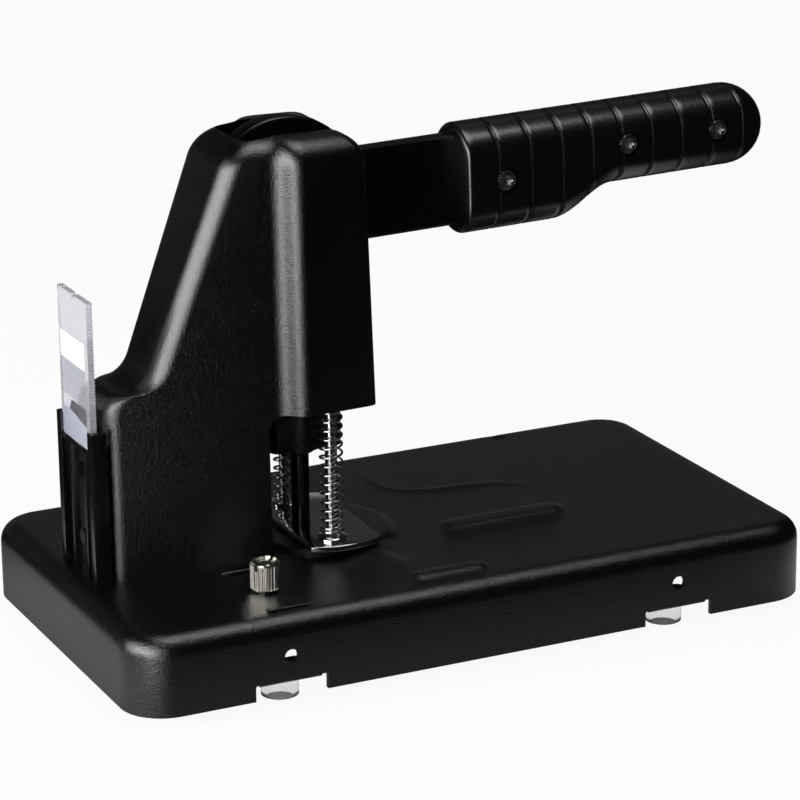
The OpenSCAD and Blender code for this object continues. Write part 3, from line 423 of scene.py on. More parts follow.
# Base: one pressed sheet with a rolled edge, beads, folded foot tabs and side holes
baseSet = {
    "length": 240, "width": 134, "top": 29.1, "rim": 3.6, "corner": 14.5, "roll": 6.6, "sheet": 1.6, "step": 1.3,
    "bossX": -28.0, "bossRadius": 24.6, "bossHeight": 2.1, "bossShoulder": 3.2, "bossSpread": 0.6,
    "beadSpread": 0.9, "beadShoulder": 2.8, "flareWidths": (7, 16), "creaseWidths": (1.7, 1.7),
    "beads": [((-17.0, -52.5), (2.0, -52.5), 3.5, 1.2), ((13.5, -15.0), (48.5, -15.0), 4.5, 1.15)],
    "flare": [(-17, -20, 2.0), (-21.4, -28.3, 1.5), (-19.4, -37.4, 0.9), (-19.5, -47, 0.0)],
    "crease": [(7.9, 51, 0.0), (7.5, 36.5, 0.34), (9.2, 27.8, 0.36), (13.5, 23.4, 0.36), (22.6, 19.8, 0.36),
               (33, 18.8, 0.34), (44.8, 16, 0.28), (55.5, 8.3, 0.0)],
    "dimple": (67, 58, 3.5, 0.5),
    "tabX": 68.7, "tabWidth": 20.6, "tabLength": 17, "relief": 1.9, "cutRise": 1.3, "cutRound": 0.9, "fold": 2.0,
    "tabRise": 4, "tabCorner": 3, "holeRise": 13, "holeRadius": 2.3, "dieRadius": 8.03, "dieX": -37.048,
    "dieScrewX": 8.6, "dieScrewY": 13.6, "dieScrewRadius": 2.83, "thumbX": -66, "thumbY": -41, "thumbRadius": 2.55,
    "trackWidth": 32.8, "trackLength": 14, "slitHalf": 0.8, "guideRise": 0.9, "guideRound": 0.7}


# Height of a soft ridge that follows a line of points, with a width for each side of the line
def ridge(x, y, path, leftWidth, rightWidth):
    best = 0.0
    for (ax, ay, ah), (bx, by, bh) in zip(path, path[1:]):
        dx, dy = bx - ax, by - ay
        t = min(1.0, max(0.0, ((x - ax) * dx + (y - ay) * dy) / (dx * dx + dy * dy)))
        px, py = ax + t * dx, ay + t * dy
        width = leftWidth if dx * (y - ay) - dy * (x - ax) > 0 else rightWidth
        best = max(best, (ah + t * (bh - ah)) * soft(1 - hypot(x - px, y - py) / width))
    return best


def baseRelief(x, y, s):
    inward = s["bossRadius"] + s["bossSpread"] - hypot(x - s["bossX"], y)
    boss = s["bossHeight"] * soft(inward / s["bossShoulder"])
    height = max(boss, ridge(x, y, s["flare"], *s["flareWidths"]))
    for (ax, ay), (bx, _), half, rise in s["beads"]:
        gap = hypot(x - min(bx, max(ax, x)), y - ay)
        height = max(height, rise * soft((half + s["beadSpread"] - gap) / s["beadShoulder"]))
    height = max(height, ridge(x, y, s["crease"], *s["creaseWidths"]))
    dx, dy, radius, depth = s["dimple"]
    return height - depth * soft(1 - hypot(x - dx, y - dy) / radius)


def makeBase(s):
    inner = s["corner"] - s["roll"]
    flatX, flatY = s["length"] / 2 - s["roll"], s["width"] / 2 - s["roll"]
    cornerX, cornerY = flatX - inner, flatY - inner
    clearSelection()
    columns, rows = round(2 * flatX / s["step"]), round(2 * flatY / s["step"])
    bpy.ops.mesh.primitive_grid_add(x_subdivisions=columns, y_subdivisions=rows, size=2)
    pan = named("basePan")
    mesh = openMesh(pan, "VERT")
    for vert in mesh.verts:
        x, y = vert.co.x * flatX, vert.co.y * flatY
        u, v = abs(x) - cornerX, abs(y) - cornerY
        if u > 0 and v > 0:
            pull = max(u, v) / hypot(u, v)
            x = copysign(cornerX + u * pull, x)
            y = copysign(cornerY + v * pull, y)
        vert.co = Vector((x + baseMiddle, y, s["top"] + baseRelief(x, y, s))) * mm
    for edge in mesh.edges:
        edge.select_set(edge.is_boundary)
    bmesh.update_edit_mesh(pan.data)
    bpy.ops.mesh.select_mode(type="EDGE")

    # the rim is extruded round the roll, then down the wall
    roll = arc(0, 0, s["roll"], 90, 0, 9)
    moves = [(b[0] - a[0], a[1] - b[1]) for a, b in zip(roll, roll[1:])]
    wall = s["top"] - s["roll"] - s["rim"]
    for out, down in moves + [(0, wall / 2), (0, wall / 2)]:
        bpy.ops.mesh.extrude_edges_move()
        mesh = bmesh.from_edit_mesh(pan.data)
        for vert in mesh.verts:
            if vert.select:
                x, y = vert.co.x / mm - baseMiddle, vert.co.y / mm
                u, v = max(0, abs(x) - cornerX), max(0, abs(y) - cornerY)
                if u > 0 and v > 0:
                    way = Vector((copysign(u, x), copysign(v, y))).normalized()
                elif u > inner - 0.01:
                    way = Vector((copysign(1, x), 0))
                else:
                    way = Vector((0, copysign(1, y)))
                vert.co += Vector((way.x * out, way.y * out, -down)) * mm
        bmesh.update_edit_mesh(pan.data)
    faceOutward()
    if bmesh.from_edit_mesh(pan.data).faces[0].normal.z < 0:
        bpy.ops.mesh.flip_normals()
    closeMesh()
    useModifier(pan, "SOLIDIFY", thickness=s["sheet"] * mm, offset=-1, use_even_offset=True)

    # foot notches, side holes, slits, and the holes for the die, its screws and the thumb screw
    top, rim, tabHalf, sheet, slit = s["top"], s["rim"], s["tabWidth"] / 2, s["sheet"], s["slitHalf"]
    thumbX, thumbY, trackHalf = s["thumbX"] + baseMiddle, s["thumbY"], s["trackLength"] / 2
    tabs = [(sx * s["tabX"] + baseMiddle, sy * s["width"] / 2, sy) for sx, sy in cornerSigns]

    def alongTrack(name, y, low, high):
        return block(name, (thumbX - trackHalf, y - slit, low), (thumbX + trackHalf, y + slit, high))

    cutters = []
    for x, y, _ in tabs:
        half = tabHalf + s["relief"]
        notch = block("notch", (x - half, y - 4, rim - 2), (x + half, y + 4, rim + s["tabRise"] + s["cutRise"]))
        cutters.append(bevelWhere(notch, s["cutRound"], 5, lambda m, d: abs(d.y) > 0.9 and m.z > rim))
        z = rim + s["holeRise"]
        cutters.append(rod("sideHole", s["holeRadius"], (x, y - 4, z), (x, y + 4, z), 32))
    for side in (-1, 1):
        cutters.append(alongTrack("slit", thumbY + side * s["trackWidth"] / 2, top - 4, top + 3))
    cutters.append(upright("thumbHole", s["thumbRadius"], thumbX, thumbY, top - 4, top + 3, 32))
    cutters.append(upright("dieHole", s["dieRadius"], punchX, 0, top - 4, top + 4, 64))
    for sx, sy in cornerSigns:
        x, y = s["dieX"] + sx * s["dieScrewX"], sy * s["dieScrewY"]
        cutters.append(upright("dieScrewHole", s["dieScrewRadius"], x, y, top - 4, top + 4, 28))
    carve(pan, cutters)

    # folded tabs that carry the feet, and the two raised guides of the ruler's track
    extras = []
    z, fold, inside = rim + s["tabRise"], s["fold"], 0.02
    profile = [(inside, z + fold + 1.0)] + arc(inside + fold, z + fold, fold, 180, 270, 8)
    profile += [(s["tabLength"], z), (s["tabLength"], z + sheet), (fold + 0.1, z + sheet),
                (sheet - inside, z + fold + 0.1), (sheet - inside, z + fold + 1.0)]
    for x, y, sy in tabs:
        tab = slab("footTab", [(y - sy * inward, up) for inward, up in profile], x - tabHalf, x + tabHalf, "X")
        extras.append(bevelWhere(tab, s["tabCorner"], 6, lambda m, d: abs(d.z) > 0.9 and abs(m.y) < 60))
    for side in (-1, 1):
        guide = alongTrack("guide", thumbY + side * (s["trackWidth"] / 2 + sheet), top - 3, top + s["guideRise"])
        extras.append(bevelWhere(guide, s["guideRound"], 5, lambda m, d: m.z > top + 0.5 and abs(d.z) < 0.3))
    carve(pan, extras, "UNION")
    return finishPiece(pan, coatPaint, "base", "base_pan", 34)


basePan = makeBase(baseSet)
print("base", len(basePan.data.polygons))


# Cover: lofted wall with a throat, a lever slot and a step in its sides
coverSet = {
    "length": 90, "front": -24.7478, "foot": 29.1, "top": 167.1, "head": 78.6, "throatX": -61.9478,
    "throatRadius": 6, "stepHeight": 60.4, "stepLength": 14.4, "slope": 69, "backHalf": 12.8, "midHalf": 22.2,
    "headHalf": 27.9, "frontHalf": 26.4, "draft": 1.3, "wall": 2.2, "backRadius": 7, "edgeRadius": 7,
    "hollowRadius": 11, "topRadius": 9, "frontRadius": 3.2, "bendRadius": 8, "stepFrom": 4.9, "stepTo": 9.9,
    "slotHalf": 12.5, "slotEnd": -65.4478, "slotLow": 122.2, "slotRound": 4, "frontRound": 2.5, "rim": 0.5}


def coverRing(z, back, inset, s):
    lean = (z - s["foot"]) * tan(radians(s["draft"]))
    coverBack = s["front"] - s["length"]
    stepBack, stepFront = s["throatX"] + s["stepFrom"], s["throatX"] + s["stepTo"]
    backHalf = s["backHalf"] + (back - coverBack) / (stepBack - coverBack) * (s["midHalf"] - s["backHalf"])
    xs = [back + inset, stepBack, stepFront, s["front"] - lean - inset]
    halves = [half - lean - inset for half in (backHalf, s["midHalf"], s["headHalf"], s["frontHalf"])]
    radii = [s["backRadius"] - 0.35 * inset, s["bendRadius"], s["bendRadius"] - 1, s["frontRadius"]]
    points = [(x, -half) for x, half in zip(xs, halves)] + [(x, half) for x, half in zip(xs[::-1], halves[::-1])]
    return [(x, y, z) for x, y in roundedPath(points, radii + radii[::-1], 9)]


def coverLevels(s):
    back, slope = s["front"] - s["length"], radians(s["slope"])
    stepZ, edge, hollow, crown = s["foot"] + s["stepHeight"], s["edgeRadius"], s["hollowRadius"], s["topRadius"]
    lineX = lambda z: back + s["stepLength"] + (z - stepZ) / tan(slope)
    levels = [(s["foot"], back, 0)]
    for i in range(9):
        a = radians(90 * i / 9)
        levels.append((stepZ - edge * (1 - sin(a)), back + edge * (1 - cos(a)), 0))
    hollowX = lineX(stepZ) - hollow * tan(slope / 2)
    for i in range(11):
        a = slope * i / 10
        lift = 0.01 if i == 0 else 0
        levels.append((stepZ + hollow * (1 - cos(a)) + lift, hollowX + hollow * sin(a), 0))
    for i in range(11):
        a = radians(88 * i / 10)
        z = s["top"] - crown * (1 - sin(a))
        levels.append((z, lineX(z), crown * (1 - cos(a))))
    return levels


def makeCover(s):
    cover = loft("coverShell", [coverRing(z, back, inset, s) for z, back, inset in coverLevels(s)])
    back, low, head = s["throatX"], s["foot"] - 5, s["head"]
    throat = roundedPath([(back, low), (20, low), (20, head), (back, head)], [0, 0, 0, s["throatRadius"]], 8)
    carve(cover, [slab("throat", throat, -60, 60, "Y")])

    # the foot and the underside of the head are open
    mesh = openMesh(cover, "FACE")
    for face in mesh.faces:
        z = face.calc_center_median().z / mm
        face.select_set(face.normal.z < -0.999 and (z < s["foot"] + 0.05 or abs(z - s["head"]) < 0.05))
    bmesh.update_edit_mesh(cover.data)
    bpy.ops.mesh.delete(type="FACE")
    closeMesh()
    useModifier(cover, "SOLIDIFY", thickness=s["wall"] * mm, offset=-1, use_even_offset=True)

    half, end, low, wide, small = s["slotHalf"], s["slotEnd"], s["slotLow"], s["slotRound"], s["frontRound"]
    slot = roundedPath([(end, -half), (20, -half), (20, half), (end, half)], [wide, 0, 0, wide], 6)
    front = roundedPath([(-half, low), (half, low), (half, 200), (-half, 200)], [small, small, 0, 0], 5)
    carve(cover, [slab("topSlot", slot, s["top"] - 12, s["top"] + 10, "Z")])
    carve(cover, [slab("frontSlot", front, s["front"] - 14, s["front"] + 10, "X")])
    softEdges(cover, s["rim"], 55)
    return finishPiece(cover, coverPaint, "base", "cover", 30)


coverShell = makeCover(coverSet)
print("cover", len(coverShell.data.polygons))


# Lever: flat bar with a round end, and two moulded grip halves with rings
leverSet = {
    "pivotX": -47.4478, "pivotZ": 143.5, "tilt": 1.4, "hub": 27, "thick": 7, "low": -17.3, "high": 12.7,
    "end": 64.5, "tangLow": -6.0, "tangHigh": 9.5, "tangEnd": 161, "tangSlope": 8, "edge": 1.3, "bush": 7.03,
    "pinReach": 16.5, "pinAngle": -39, "pin": 2.53, "stopRadius": 18, "stopHalf": 3.3, "stopFrom": 136.0,
    "stopTo": 235.5}
gripSet = {
    "start": 60.5, "end": 175, "radius": 13.7, "axis": 2.3, "half": 12.5, "palm": 9.3, "palmEnd": 94.5, "slope": 22,
    "edge": 1.8, "rings": [71.7, 83.3, 94.8, 106.0, 117.2, 128.2, 139.4, 151.2, 162.5], "ringHalf": 0.62,
    "ringDepth": 0.6, "ringGap": 1.35, "square": 16, "seam": 0.06, "step": 1.9,
    "ringProfile": [(-1.25, 0), (-0.95, 0.12), (-0.62, 0.75), (0, 1), (0.62, 0.75), (0.95, 0.12), (1.25, 0)],
    "sides": 72, "screws": [(75, -2.8), (120, 3.1), (154, 3.3)],
    "counterbore": 4.3, "nutPocket": 3.55, "deep": 3.2, "head": 3.45, "teeth": 20,
    "headProfile": [(0.9, 0.0, 0), (1.0, 0.25, 1), (1.0, 1.45, 1), (0.9, 1.7, 1), (0.84, 1.75, 0), (0.78, 2.2, 0),
                    (0.62, 2.4, 0), (0.5, 2.38, 0), (0.46, 2.2, 2), (0.43, 0.9, 2)]}


def leverPoint(x, y, z):
    s = leverSet
    a = radians(s["tilt"])
    return (s["pivotX"] + x * cos(a) - z * sin(a), y, s["pivotZ"] + x * sin(a) + z * cos(a))


def makeLever(s):
    up, down = [degrees(asin(s[edge] / s["hub"])) for edge in ("high", "low")]
    outline = arc(0, 0, s["hub"], up, 360 + down, 72)
    outline += [(s["end"], s["low"]), (s["end"] + s["tangSlope"], s["tangLow"]), (s["tangEnd"], s["tangLow"]),
                (s["tangEnd"], s["tangHigh"]), (s["end"], s["tangHigh"]), (s["end"], s["high"])]
    half = s["thick"] / 2
    bar = loft("leverBar", [[leverPoint(x, y, z) for x, z in outline] for y in (-half, half)])
    bevelWhere(bar, s["edge"], 4, lambda m, d: abs(abs(m.y) - half) < 0.01)
    pivotX, pivotZ = s["pivotX"], s["pivotZ"]
    a = radians(s["pinAngle"])
    pinX, pinZ = pivotX + s["pinReach"] * cos(a), pivotZ + s["pinReach"] * sin(a)
    slot = arc(pivotX, pivotZ, s["stopRadius"] + s["stopHalf"], s["stopFrom"], s["stopTo"], 30)
    slot += arc(pivotX, pivotZ, s["stopRadius"] - s["stopHalf"], s["stopTo"], s["stopFrom"], 30)
    carve(bar, [rod("bushHole", s["bush"], (pivotX, -9, pivotZ), (pivotX, 9, pivotZ), 64),
                rod("pinHole", s["pin"], (pinX, -9, pinZ), (pinX, 9, pinZ), 32),
                slab("stopSlot", slot, -9, 9, "Y")])
    return finishPiece(bar, darkSteelPaint, "lever", "lever_bar", 34)


# One section of the grip: two round arcs, the lower one dropped for the palm, with flat sides
def gripSection(x, inset, s):
    drop = s["palm"] * soft(1 - (x - s["palmEnd"]) / s["slope"])
    domeX = s["end"] - s["radius"]
    radius = s["radius"] if x <= domeX else sqrt(max(0.01, s["radius"] ** 2 - (x - domeX) ** 2))
    radius, half = radius - inset, s["half"] - inset
    ring = []
    for k in range(s["sides"]):
        a = 2 * pi * (k + 0.5) / s["sides"]
        y = radius * cos(a)
        y = y / (1 + abs(y / half) ** s["square"]) ** (1 / s["square"])
        z = s["axis"] + radius * sin(a) - (drop if sin(a) < 0 else 0)
        ring.append(leverPoint(x, y, z))
    return ring


def makeGrip(s):
    x = s["start"] + s["edge"]
    places = arc(x, s["edge"], s["edge"], 180, 270, 5)
    while x < s["end"] - s["radius"]:
        places.append((x, 0))
        x += s["step"]
    places += [(x, 0) for x, _ in arc(s["end"] - s["radius"], 0, s["radius"], 90, 1, 12)]
    for ring in s["rings"]:
        places = [p for p in places if abs(p[0] - ring) > s["ringHalf"] * s["ringGap"]]
        for t, depth in s["ringProfile"]:
            places.append((ring + t * s["ringHalf"], depth * s["ringDepth"]))
    places.sort()
    whole = loft("gripWhole", [gripSection(x, inset, s) for x, inset in places])
    halves = []
    for side, name, node in ((-1, "gripNear", "grip_near"), (1, "gripFar", "grip_far")):
        half = placed(name, whole.data.copy())
        openMesh(half, "FACE")
        bpy.ops.mesh.select_all(action="SELECT")
        bpy.ops.mesh.bisect(plane_co=(0, side * s["seam"] * mm, 0), plane_no=(0, -side, 0), use_fill=True,
                            clear_outer=True)
        closeMesh()
        half.data.name = name
        radius = s["counterbore"] if side < 0 else s["nutPocket"]
        cutters = []
        for sx, sz in s["screws"]:
            low, high = leverPoint(sx, side * (s["half"] - s["deep"]), sz), leverPoint(sx, side * 20, sz)
            cutters.append(rod("counterbore", radius, low, high, 48))
        carve(half, cutters)
        halves.append(finishPiece(half, gripPaint, "lever", node, 28))
    bpy.data.objects.remove(whole)
    return halves


# Screw heads: each line of the profile is a share of the radius, a distance outwards and a kind, where 1 is
# toothed and 2 is a hexagon
def makeGripScrews(s):
    for number, (sx, sz) in enumerate(s["screws"]):
        x, _, z = leverPoint(sx, 0, sz)
        seat = -s["half"] + s["deep"]
        rings = []
        count = s["teeth"] * 4
        for share, out, kind in s["headProfile"]:
            ring = []
            for k in range(count):
                a = 2 * pi * k / count
                tooth = 0.9 if kind == 1 and k % 4 > 1 else 1.0
                hexed = cos(pi / 6) / cos((a % (pi / 3)) - pi / 6) if kind == 2 else 1.0
                r = s["head"] * share * tooth * hexed
                ring.append((x + r * cos(a), seat - out, z + r * sin(a)))
            rings.append(ring)
        screw = loft("gripScrew%d" % (number + 1), rings)
        finishPiece(screw, steelPaint, "lever", "grip_screws", 30)


leverBar = makeLever(leverSet)
gripHalves = makeGrip(gripSet)
makeGripScrews(gripSet)
print("lever and grip", len(leverBar.data.polygons), len(gripHalves[0].data.polygons))


# Punch carriage: block with a round boss, wings for the posts and two cheeks
carriageSet = {
    "back": -56.248, "front": -31.448, "half": 10, "low": 61.5, "top": 94.8, "wingX": -39.948, "wingHalf": 6,
    "reach": 22.4, "wingLow": 81.6, "wingTop": 91.0, "cheekIn": 4.3, "cheekBack": -38.95, "cheekFront": -26.35,
    "stepZ": 123.6, "cheekTop": 141.0, "punch": 3, "tip": 29.2, "bossRadius": 7.2, "bossDrop": 1.6, "edge": 0.7,
    "postRadius": 2.06, "postY": 18.6, "slotLow": 130.4, "slotHigh": 135.9, "slotBack": -37.5, "slotFront": -28.1,
    "corner": 3, "cheekRounds": [0, 0, 1.5, 1.5, 4, 4]}


def makeCarriage(s):
    body = block("carriageBlock", (s["back"], -s["half"], s["low"]), (s["front"], s["half"], s["top"]))
    bevelWhere(body, s["corner"], 5, lambda m, d: abs(d.z) > 0.9)
    boss = upright("punchBoss", s["bossRadius"], punchX, 0, s["low"] - s["bossDrop"], s["low"] + 4, 56)
    back, front, reach = s["wingX"] - s["wingHalf"], s["wingX"] + s["wingHalf"], s["reach"]
    wing = roundedPath([(back, -reach), (front, -reach), (front, reach), (back, reach)], [s["corner"]] * 4, 6)
    carve(body, [boss], "UNION")
    carve(body, [slab("wing", wing, s["wingLow"], s["wingTop"])], "UNION")
    cheek = roundedPath([(s["cheekBack"], s["top"] - 6), (s["front"], s["top"] - 6), (s["front"], s["stepZ"]),
                         (s["cheekFront"], s["stepZ"]), (s["cheekFront"], s["cheekTop"]),
                         (s["cheekBack"], s["cheekTop"])], s["cheekRounds"], 6)
    for side in (-1, 1):
        near, far = sorted((side * s["cheekIn"], side * (s["half"] - 0.05)))
        carve(body, [slab("cheek", cheek, near, far, "Y")], "UNION")
    middle, half = (s["slotLow"] + s["slotHigh"]) / 2, (s["slotHigh"] - s["slotLow"]) / 2
    slot = arc(s["slotFront"] - half, middle, half, -90, 90, 12)
    slot += arc(s["slotBack"] + half, middle, half, 90, 270, 12)
    holes = [slab("pinSlot", slot, -15, 15, "Y")]
    for side in (-1, 1):
        y = side * s["postY"]
        holes.append(upright("postHole", s["postRadius"], s["wingX"], y, 80, 92, 32))
    carve(body, holes)
    softEdges(body, s["edge"], 50)
    return finishPiece(body, darkSteelPaint, "carriage", "carriage", 34)


def makePunch(s):
    r, tip, low = s["punch"], s["tip"], s["low"]
    profile = [(r - 0.8, tip + 12), (r - 0.8, tip), (r - 0.05, tip), (r, tip + 0.15), (r, low - 9.5),
               (r, low - 4.2), (r + 0.9, low - 3.4), (r + 1.6, low - 3.2), (r + 1.7, low - 1.4), (r + 2, low - 1.2),
               (r + 2, low + 0.2), (r + 2, low + 15.5), (r + 1.6, low + 15.9)]
    punch = turned("punchBit", profile, punchX, 0, 56)
    return finishPiece(punch, oiledSteelPaint, "carriage", "punch_bit", 30)


carriageBlock = makeCarriage(carriageSet)
makePunch(carriageSet)
print("carriage", len(carriageBlock.data.polygons))


# Presser plate, guide posts and springs
plateSet = {
    "x": -37.048, "half": 12.5, "low": 31.5, "thick": 2, "endRadius": 24.68, "endY": 2.22, "edge": 0.55,
    "postX": -39.948, "postY": 18.6, "post": 2.0, "postTop": 97.3, "flange": 4.8, "flangeTop": 35.1, "groove": 94.2,
    "punchHole": 3.3}
springSet = {
    "low": 35.1, "high": 81.6, "radius": 3.6, "wire": 0.4, "turns": 17, "stepsPerTurn": 26, "sides": 9, "gap": 0.3,
    "ends": 1.6, "endPitch": 1.15}


def makePlate(s):
    reach = degrees(asin(s["half"] / s["endRadius"]))
    outline = []
    for side, turn in ((1, 90), (-1, 270)):
        outline += arc(s["x"], side * s["endY"], s["endRadius"], turn - reach, turn + reach, 16)
    plate = slab("presserPlate", outline, s["low"], s["low"] + s["thick"])
    bevelWhere(plate, s["edge"], 3, lambda m, d: abs(d.z) < 0.3)
    holes = [upright("punchHole", s["punchHole"], punchX, 0, 28, 38, 40)]
    for side in (-1, 1):
        x, y = s["postX"], side * s["postY"]
        holes.append(upright("postHole", s["post"] + 0.03, x, y, 28, 38, 32))
    carve(plate, holes)
    return finishPiece(plate, chromePaint, "plate", "presser_plate", 32)


def makePost(s, side, name, node):
    r, low, top, flange, rise = s["post"], s["low"], s["postTop"], s["flange"], s["flangeTop"]
    seat, groove = low + s["thick"], s["groove"]
    profile = [(r - 0.3, low), (r, low + 0.3), (r, seat), (flange - 0.25, seat), (flange, seat + 0.25),
               (flange, seat + 0.75), (flange - 0.3, seat + 1.1), (flange - 1.4, rise - 0.15), (r + 0.9, rise),
               (r, rise + 0.35), (r, groove), (r - 0.5, groove + 0.1), (r - 0.5, groove + 1.15), (r, groove + 1.25),
               (r, top - 0.6), (r - 0.6, top)]
    post = turned(name, profile, s["postX"], side * s["postY"], 48)
    return finishPiece(post, chromePaint, "plate", node, 34)


def makeSpring(s, p, side, name, node):
    clearSelection()
    pitch = 4 * mm
    x, y = p["postX"], side * p["postY"]
    bpy.ops.mesh.primitive_circle_add(vertices=s["sides"], radius=s["wire"] * mm, location=(s["radius"] * mm, 0, 0),
                                      rotation=(radians(90), 0, 0))
    spring = applyPlace(named(name))
    steps = s["stepsPerTurn"]
    useModifier(spring, "SCREW", axis="Z", angle=2 * pi, screw_offset=pitch, iterations=s["turns"], steps=steps,
                render_steps=steps, use_merge_vertices=False)

    # each ring of the wire goes to its own height; the end curls lie closer together
    length = s["high"] - s["low"] - 2 * s["gap"] - 2 * s["wire"]
    openPitch = (length - 2 * s["ends"] * s["endPitch"]) / (s["turns"] - 2 * s["ends"])
    for vert in spring.data.vertices:
        turn = (vert.index // s["sides"]) / steps
        low, high = min(turn, s["ends"]), max(0, turn - (s["turns"] - s["ends"]))
        middle = turn - low - high
        z = s["low"] + s["gap"] + s["wire"] + (low + high) * s["endPitch"] + middle * openPitch
        vert.co = Vector((vert.co.x + x * mm, vert.co.y + y * mm, vert.co.z - pitch * turn + z * mm))
    openMesh(spring, "EDGE")
    bpy.ops.mesh.select_all(action="SELECT")
    bpy.ops.mesh.fill_holes(sides=0)
    closeMesh()
    finishPiece(spring, springPaint, None, node, 60)
    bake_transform(spring)
    return spring


makePlate(plateSet)
makePost(plateSet, -1, "postNear", "post_near")
makePost(plateSet, 1, "postFar", "post_far")
springNear = makeSpring(springSet, plateSet, -1, "springNear", "spring_near")
makeSpring(springSet, plateSet, 1, "springFar", "spring_far")
print("springs", len(springNear.data.polygons))


# Thumb screw: knurled head with a dish and a slot
thumbSet = {
    "x": -73.448, "y": -41, "low": 29.4, "high": 39.0, "radius": 4.75, "flutes": 26,
    "flute": (1.0, 0.98, 0.905, 0.98), "stem": 2, "neck": 2.5, "stemEnd": 18.2, "slot": 0.6, "slotDeep": 2.4,
    "slotTurn": 30}


def makeThumb(s):
    r, low, high, stem, neck, end = s["radius"], s["low"], s["high"], s["stem"], s["neck"], s["stemEnd"]

    def knurl(k, z):
        return s["flute"][k % 4] if low + 0.9 < z < high - 0.9 else 1.0

    profile = [(stem - 0.4, end), (stem, end + 0.4), (stem, low - 2), (neck, low - 1.9), (neck, low),
               (r - 0.75, low), (r - 0.2, low + 0.5), (r - 0.12, low + 0.85), (r, low + 0.95), (r, low + 3),
               (r, low + 6), (r, high - 0.95), (r - 0.12, high - 0.85), (r - 0.2, high - 0.3), (r - 0.5, high),
               (r - 0.85, high), (r - 0.95, high - 0.3), (r - 1.3, high - 0.35), (r - 1.4, high - 0.65),
               (r - 1.9, high - 0.7), (r - 2.0, high - 0.95), (0.8, high - 1.0)]
    thumb = turned("thumbScrew", profile, s["x"], s["y"], s["flutes"] * 4, knurl)
    turn = radians(s["slotTurn"])
    corners = [(9 * sx, s["slot"] * sy) for sx, sy in ((-1, -1), (1, -1), (1, 1), (-1, 1))]
    outline = [(s["x"] + u * cos(turn) - v * sin(turn), s["y"] + u * sin(turn) + v * cos(turn)) for u, v in corners]
    carve(thumb, [slab("slot", outline, high - s["slotDeep"], high + 2)])
    return finishPiece(thumb, nickelPaint, "thumb", "thumb_screw", 24)


thumbScrew = makeThumb(thumbSet)
print("thumb screw", len(thumbScrew.data.polygons))


# Ruler and its holder
holderSet = {
    "back": -120.048, "front": -114.748, "half": 15.25, "low": 29.1, "top": 79.6, "webTop": 72.6, "wall": 2.2,
    "lip": 0.8, "lipIn": 1.2, "web": 2.1, "ribY": 6, "ribHalf": 0.6, "shelf": 1.5, "edge": 0.35}
rulerSet = {
    "back": -119.048, "thick": 2.0, "half": 12.75, "low": 72.9, "top": 121.4, "notch": 1.3,
    "toothPitch": 1.1, "toothDeep": 0.4, "toothEnds": (1.5, 2.0), "tooth": (0.15, 0.45, 0.6),
    "ribs": 15, "ribLow": 87.0, "ribHigh": 97.9, "ribThick": 0.26, "ribSides": (-9.45, 12.15),
    "bandLow": 98.6, "bandHigh": 107.5, "bandSides": (-9.55, 11.55),
    "wedge": [(-9.45, 86.0), (3.6, 86.0), (5.4, 82.6), (-9.45, 80.4)],
    "foot": [(-9.45, 80.0), (5.5, 82.3), (12.25, 82.3), (12.25, 73.2), (-9.45, 73.2)]}


def makeHolder(s):
    b, f, h, w, lip, inner = s["back"], s["front"], s["half"], s["wall"], s["lip"], s["lipIn"]
    web = block("rulerHolder", (f - s["web"], -h + 0.2, s["low"]), (f, h - 0.2, s["webTop"]))
    for side in (-1, 1):
        rail = [(b, h), (f, h), (f, h - w), (b + lip, h - w), (b + lip, h - w - inner), (b, h - w - inner)]
        carve(web, [slab("rail", [(x, side * y) for x, y in rail], s["low"], s["top"])], "UNION")
        y, half = side * s["ribY"], s["ribHalf"]
        rib = block("rib", (b + lip, y - half, s["low"]), (f - s["web"] + 0.5, y + half, s["webTop"] - 0.1))
        carve(web, [rib], "UNION")
    top, reach = s["webTop"], h - w + 0.3
    carve(web, [block("shelf", (b + lip, -reach, top - s["shelf"]), (f - s["web"] + 0.5, reach, top))], "UNION")
    softEdges(web, s["edge"], 50)
    return finishPiece(web, gripPaint, "base", "ruler_holder", 34)


def makeRuler(s):
    half, top, low, face = s["half"], s["top"], s["low"], s["back"]
    deep, (rise, fall, end) = s["toothDeep"] - half, s["tooth"]
    outline = [(half, low), (half, top)] + arc(0, top, s["notch"], 0, -180, 12) + [(-half, top)]
    z = top - s["toothEnds"][0]
    while z > low + s["toothEnds"][1]:
        outline += [(-half, z), (deep, z - rise), (deep, z - fall), (-half, z - end)]
        z -= s["toothPitch"]
    outline.append((-half, low))

    def added(piece, finish, tidy=True):
        finishPiece(piece, finish, "ruler", "ruler", 30, tidy)

    added(slab("rulerStrip", outline, face, face + s["thick"], "X"), acrylicPaint)

    # frosted band, fine ribs, index wedge and frosted lower part, all sunk flush into the visible face
    (left, right), (ribLeft, ribRight) = s["bandSides"], s["ribSides"]
    band = block("rulerBand", (face - 0.04, left, s["bandLow"]), (face + 0.25, right, s["bandHigh"]))
    added(softEdges(band, 0.08), frostPaint)
    ribs = []
    for i in range(s["ribs"]):
        z = s["ribLow"] + (s["ribHigh"] - s["ribLow"]) * i / (s["ribs"] - 1)
        ribs.append(block("rib", (face - 0.05, ribLeft, z), (face + 0.2, ribRight, z + s["ribThick"])))
    added(joined("rulerRibs", ribs), ribPaint, tidy=False)
    added(softEdges(slab("rulerWedge", s["wedge"], face - 0.05, face + 0.3, "X"), 0.08), greyPaint)
    added(softEdges(slab("rulerFoot", s["foot"], face - 0.03, face + 0.25, "X"), 0.06), footFrostPaint)


rulerHolder = makeHolder(holderSet)
makeRuler(rulerSet)
print("ruler and holder", len(rulerHolder.data.polygons))


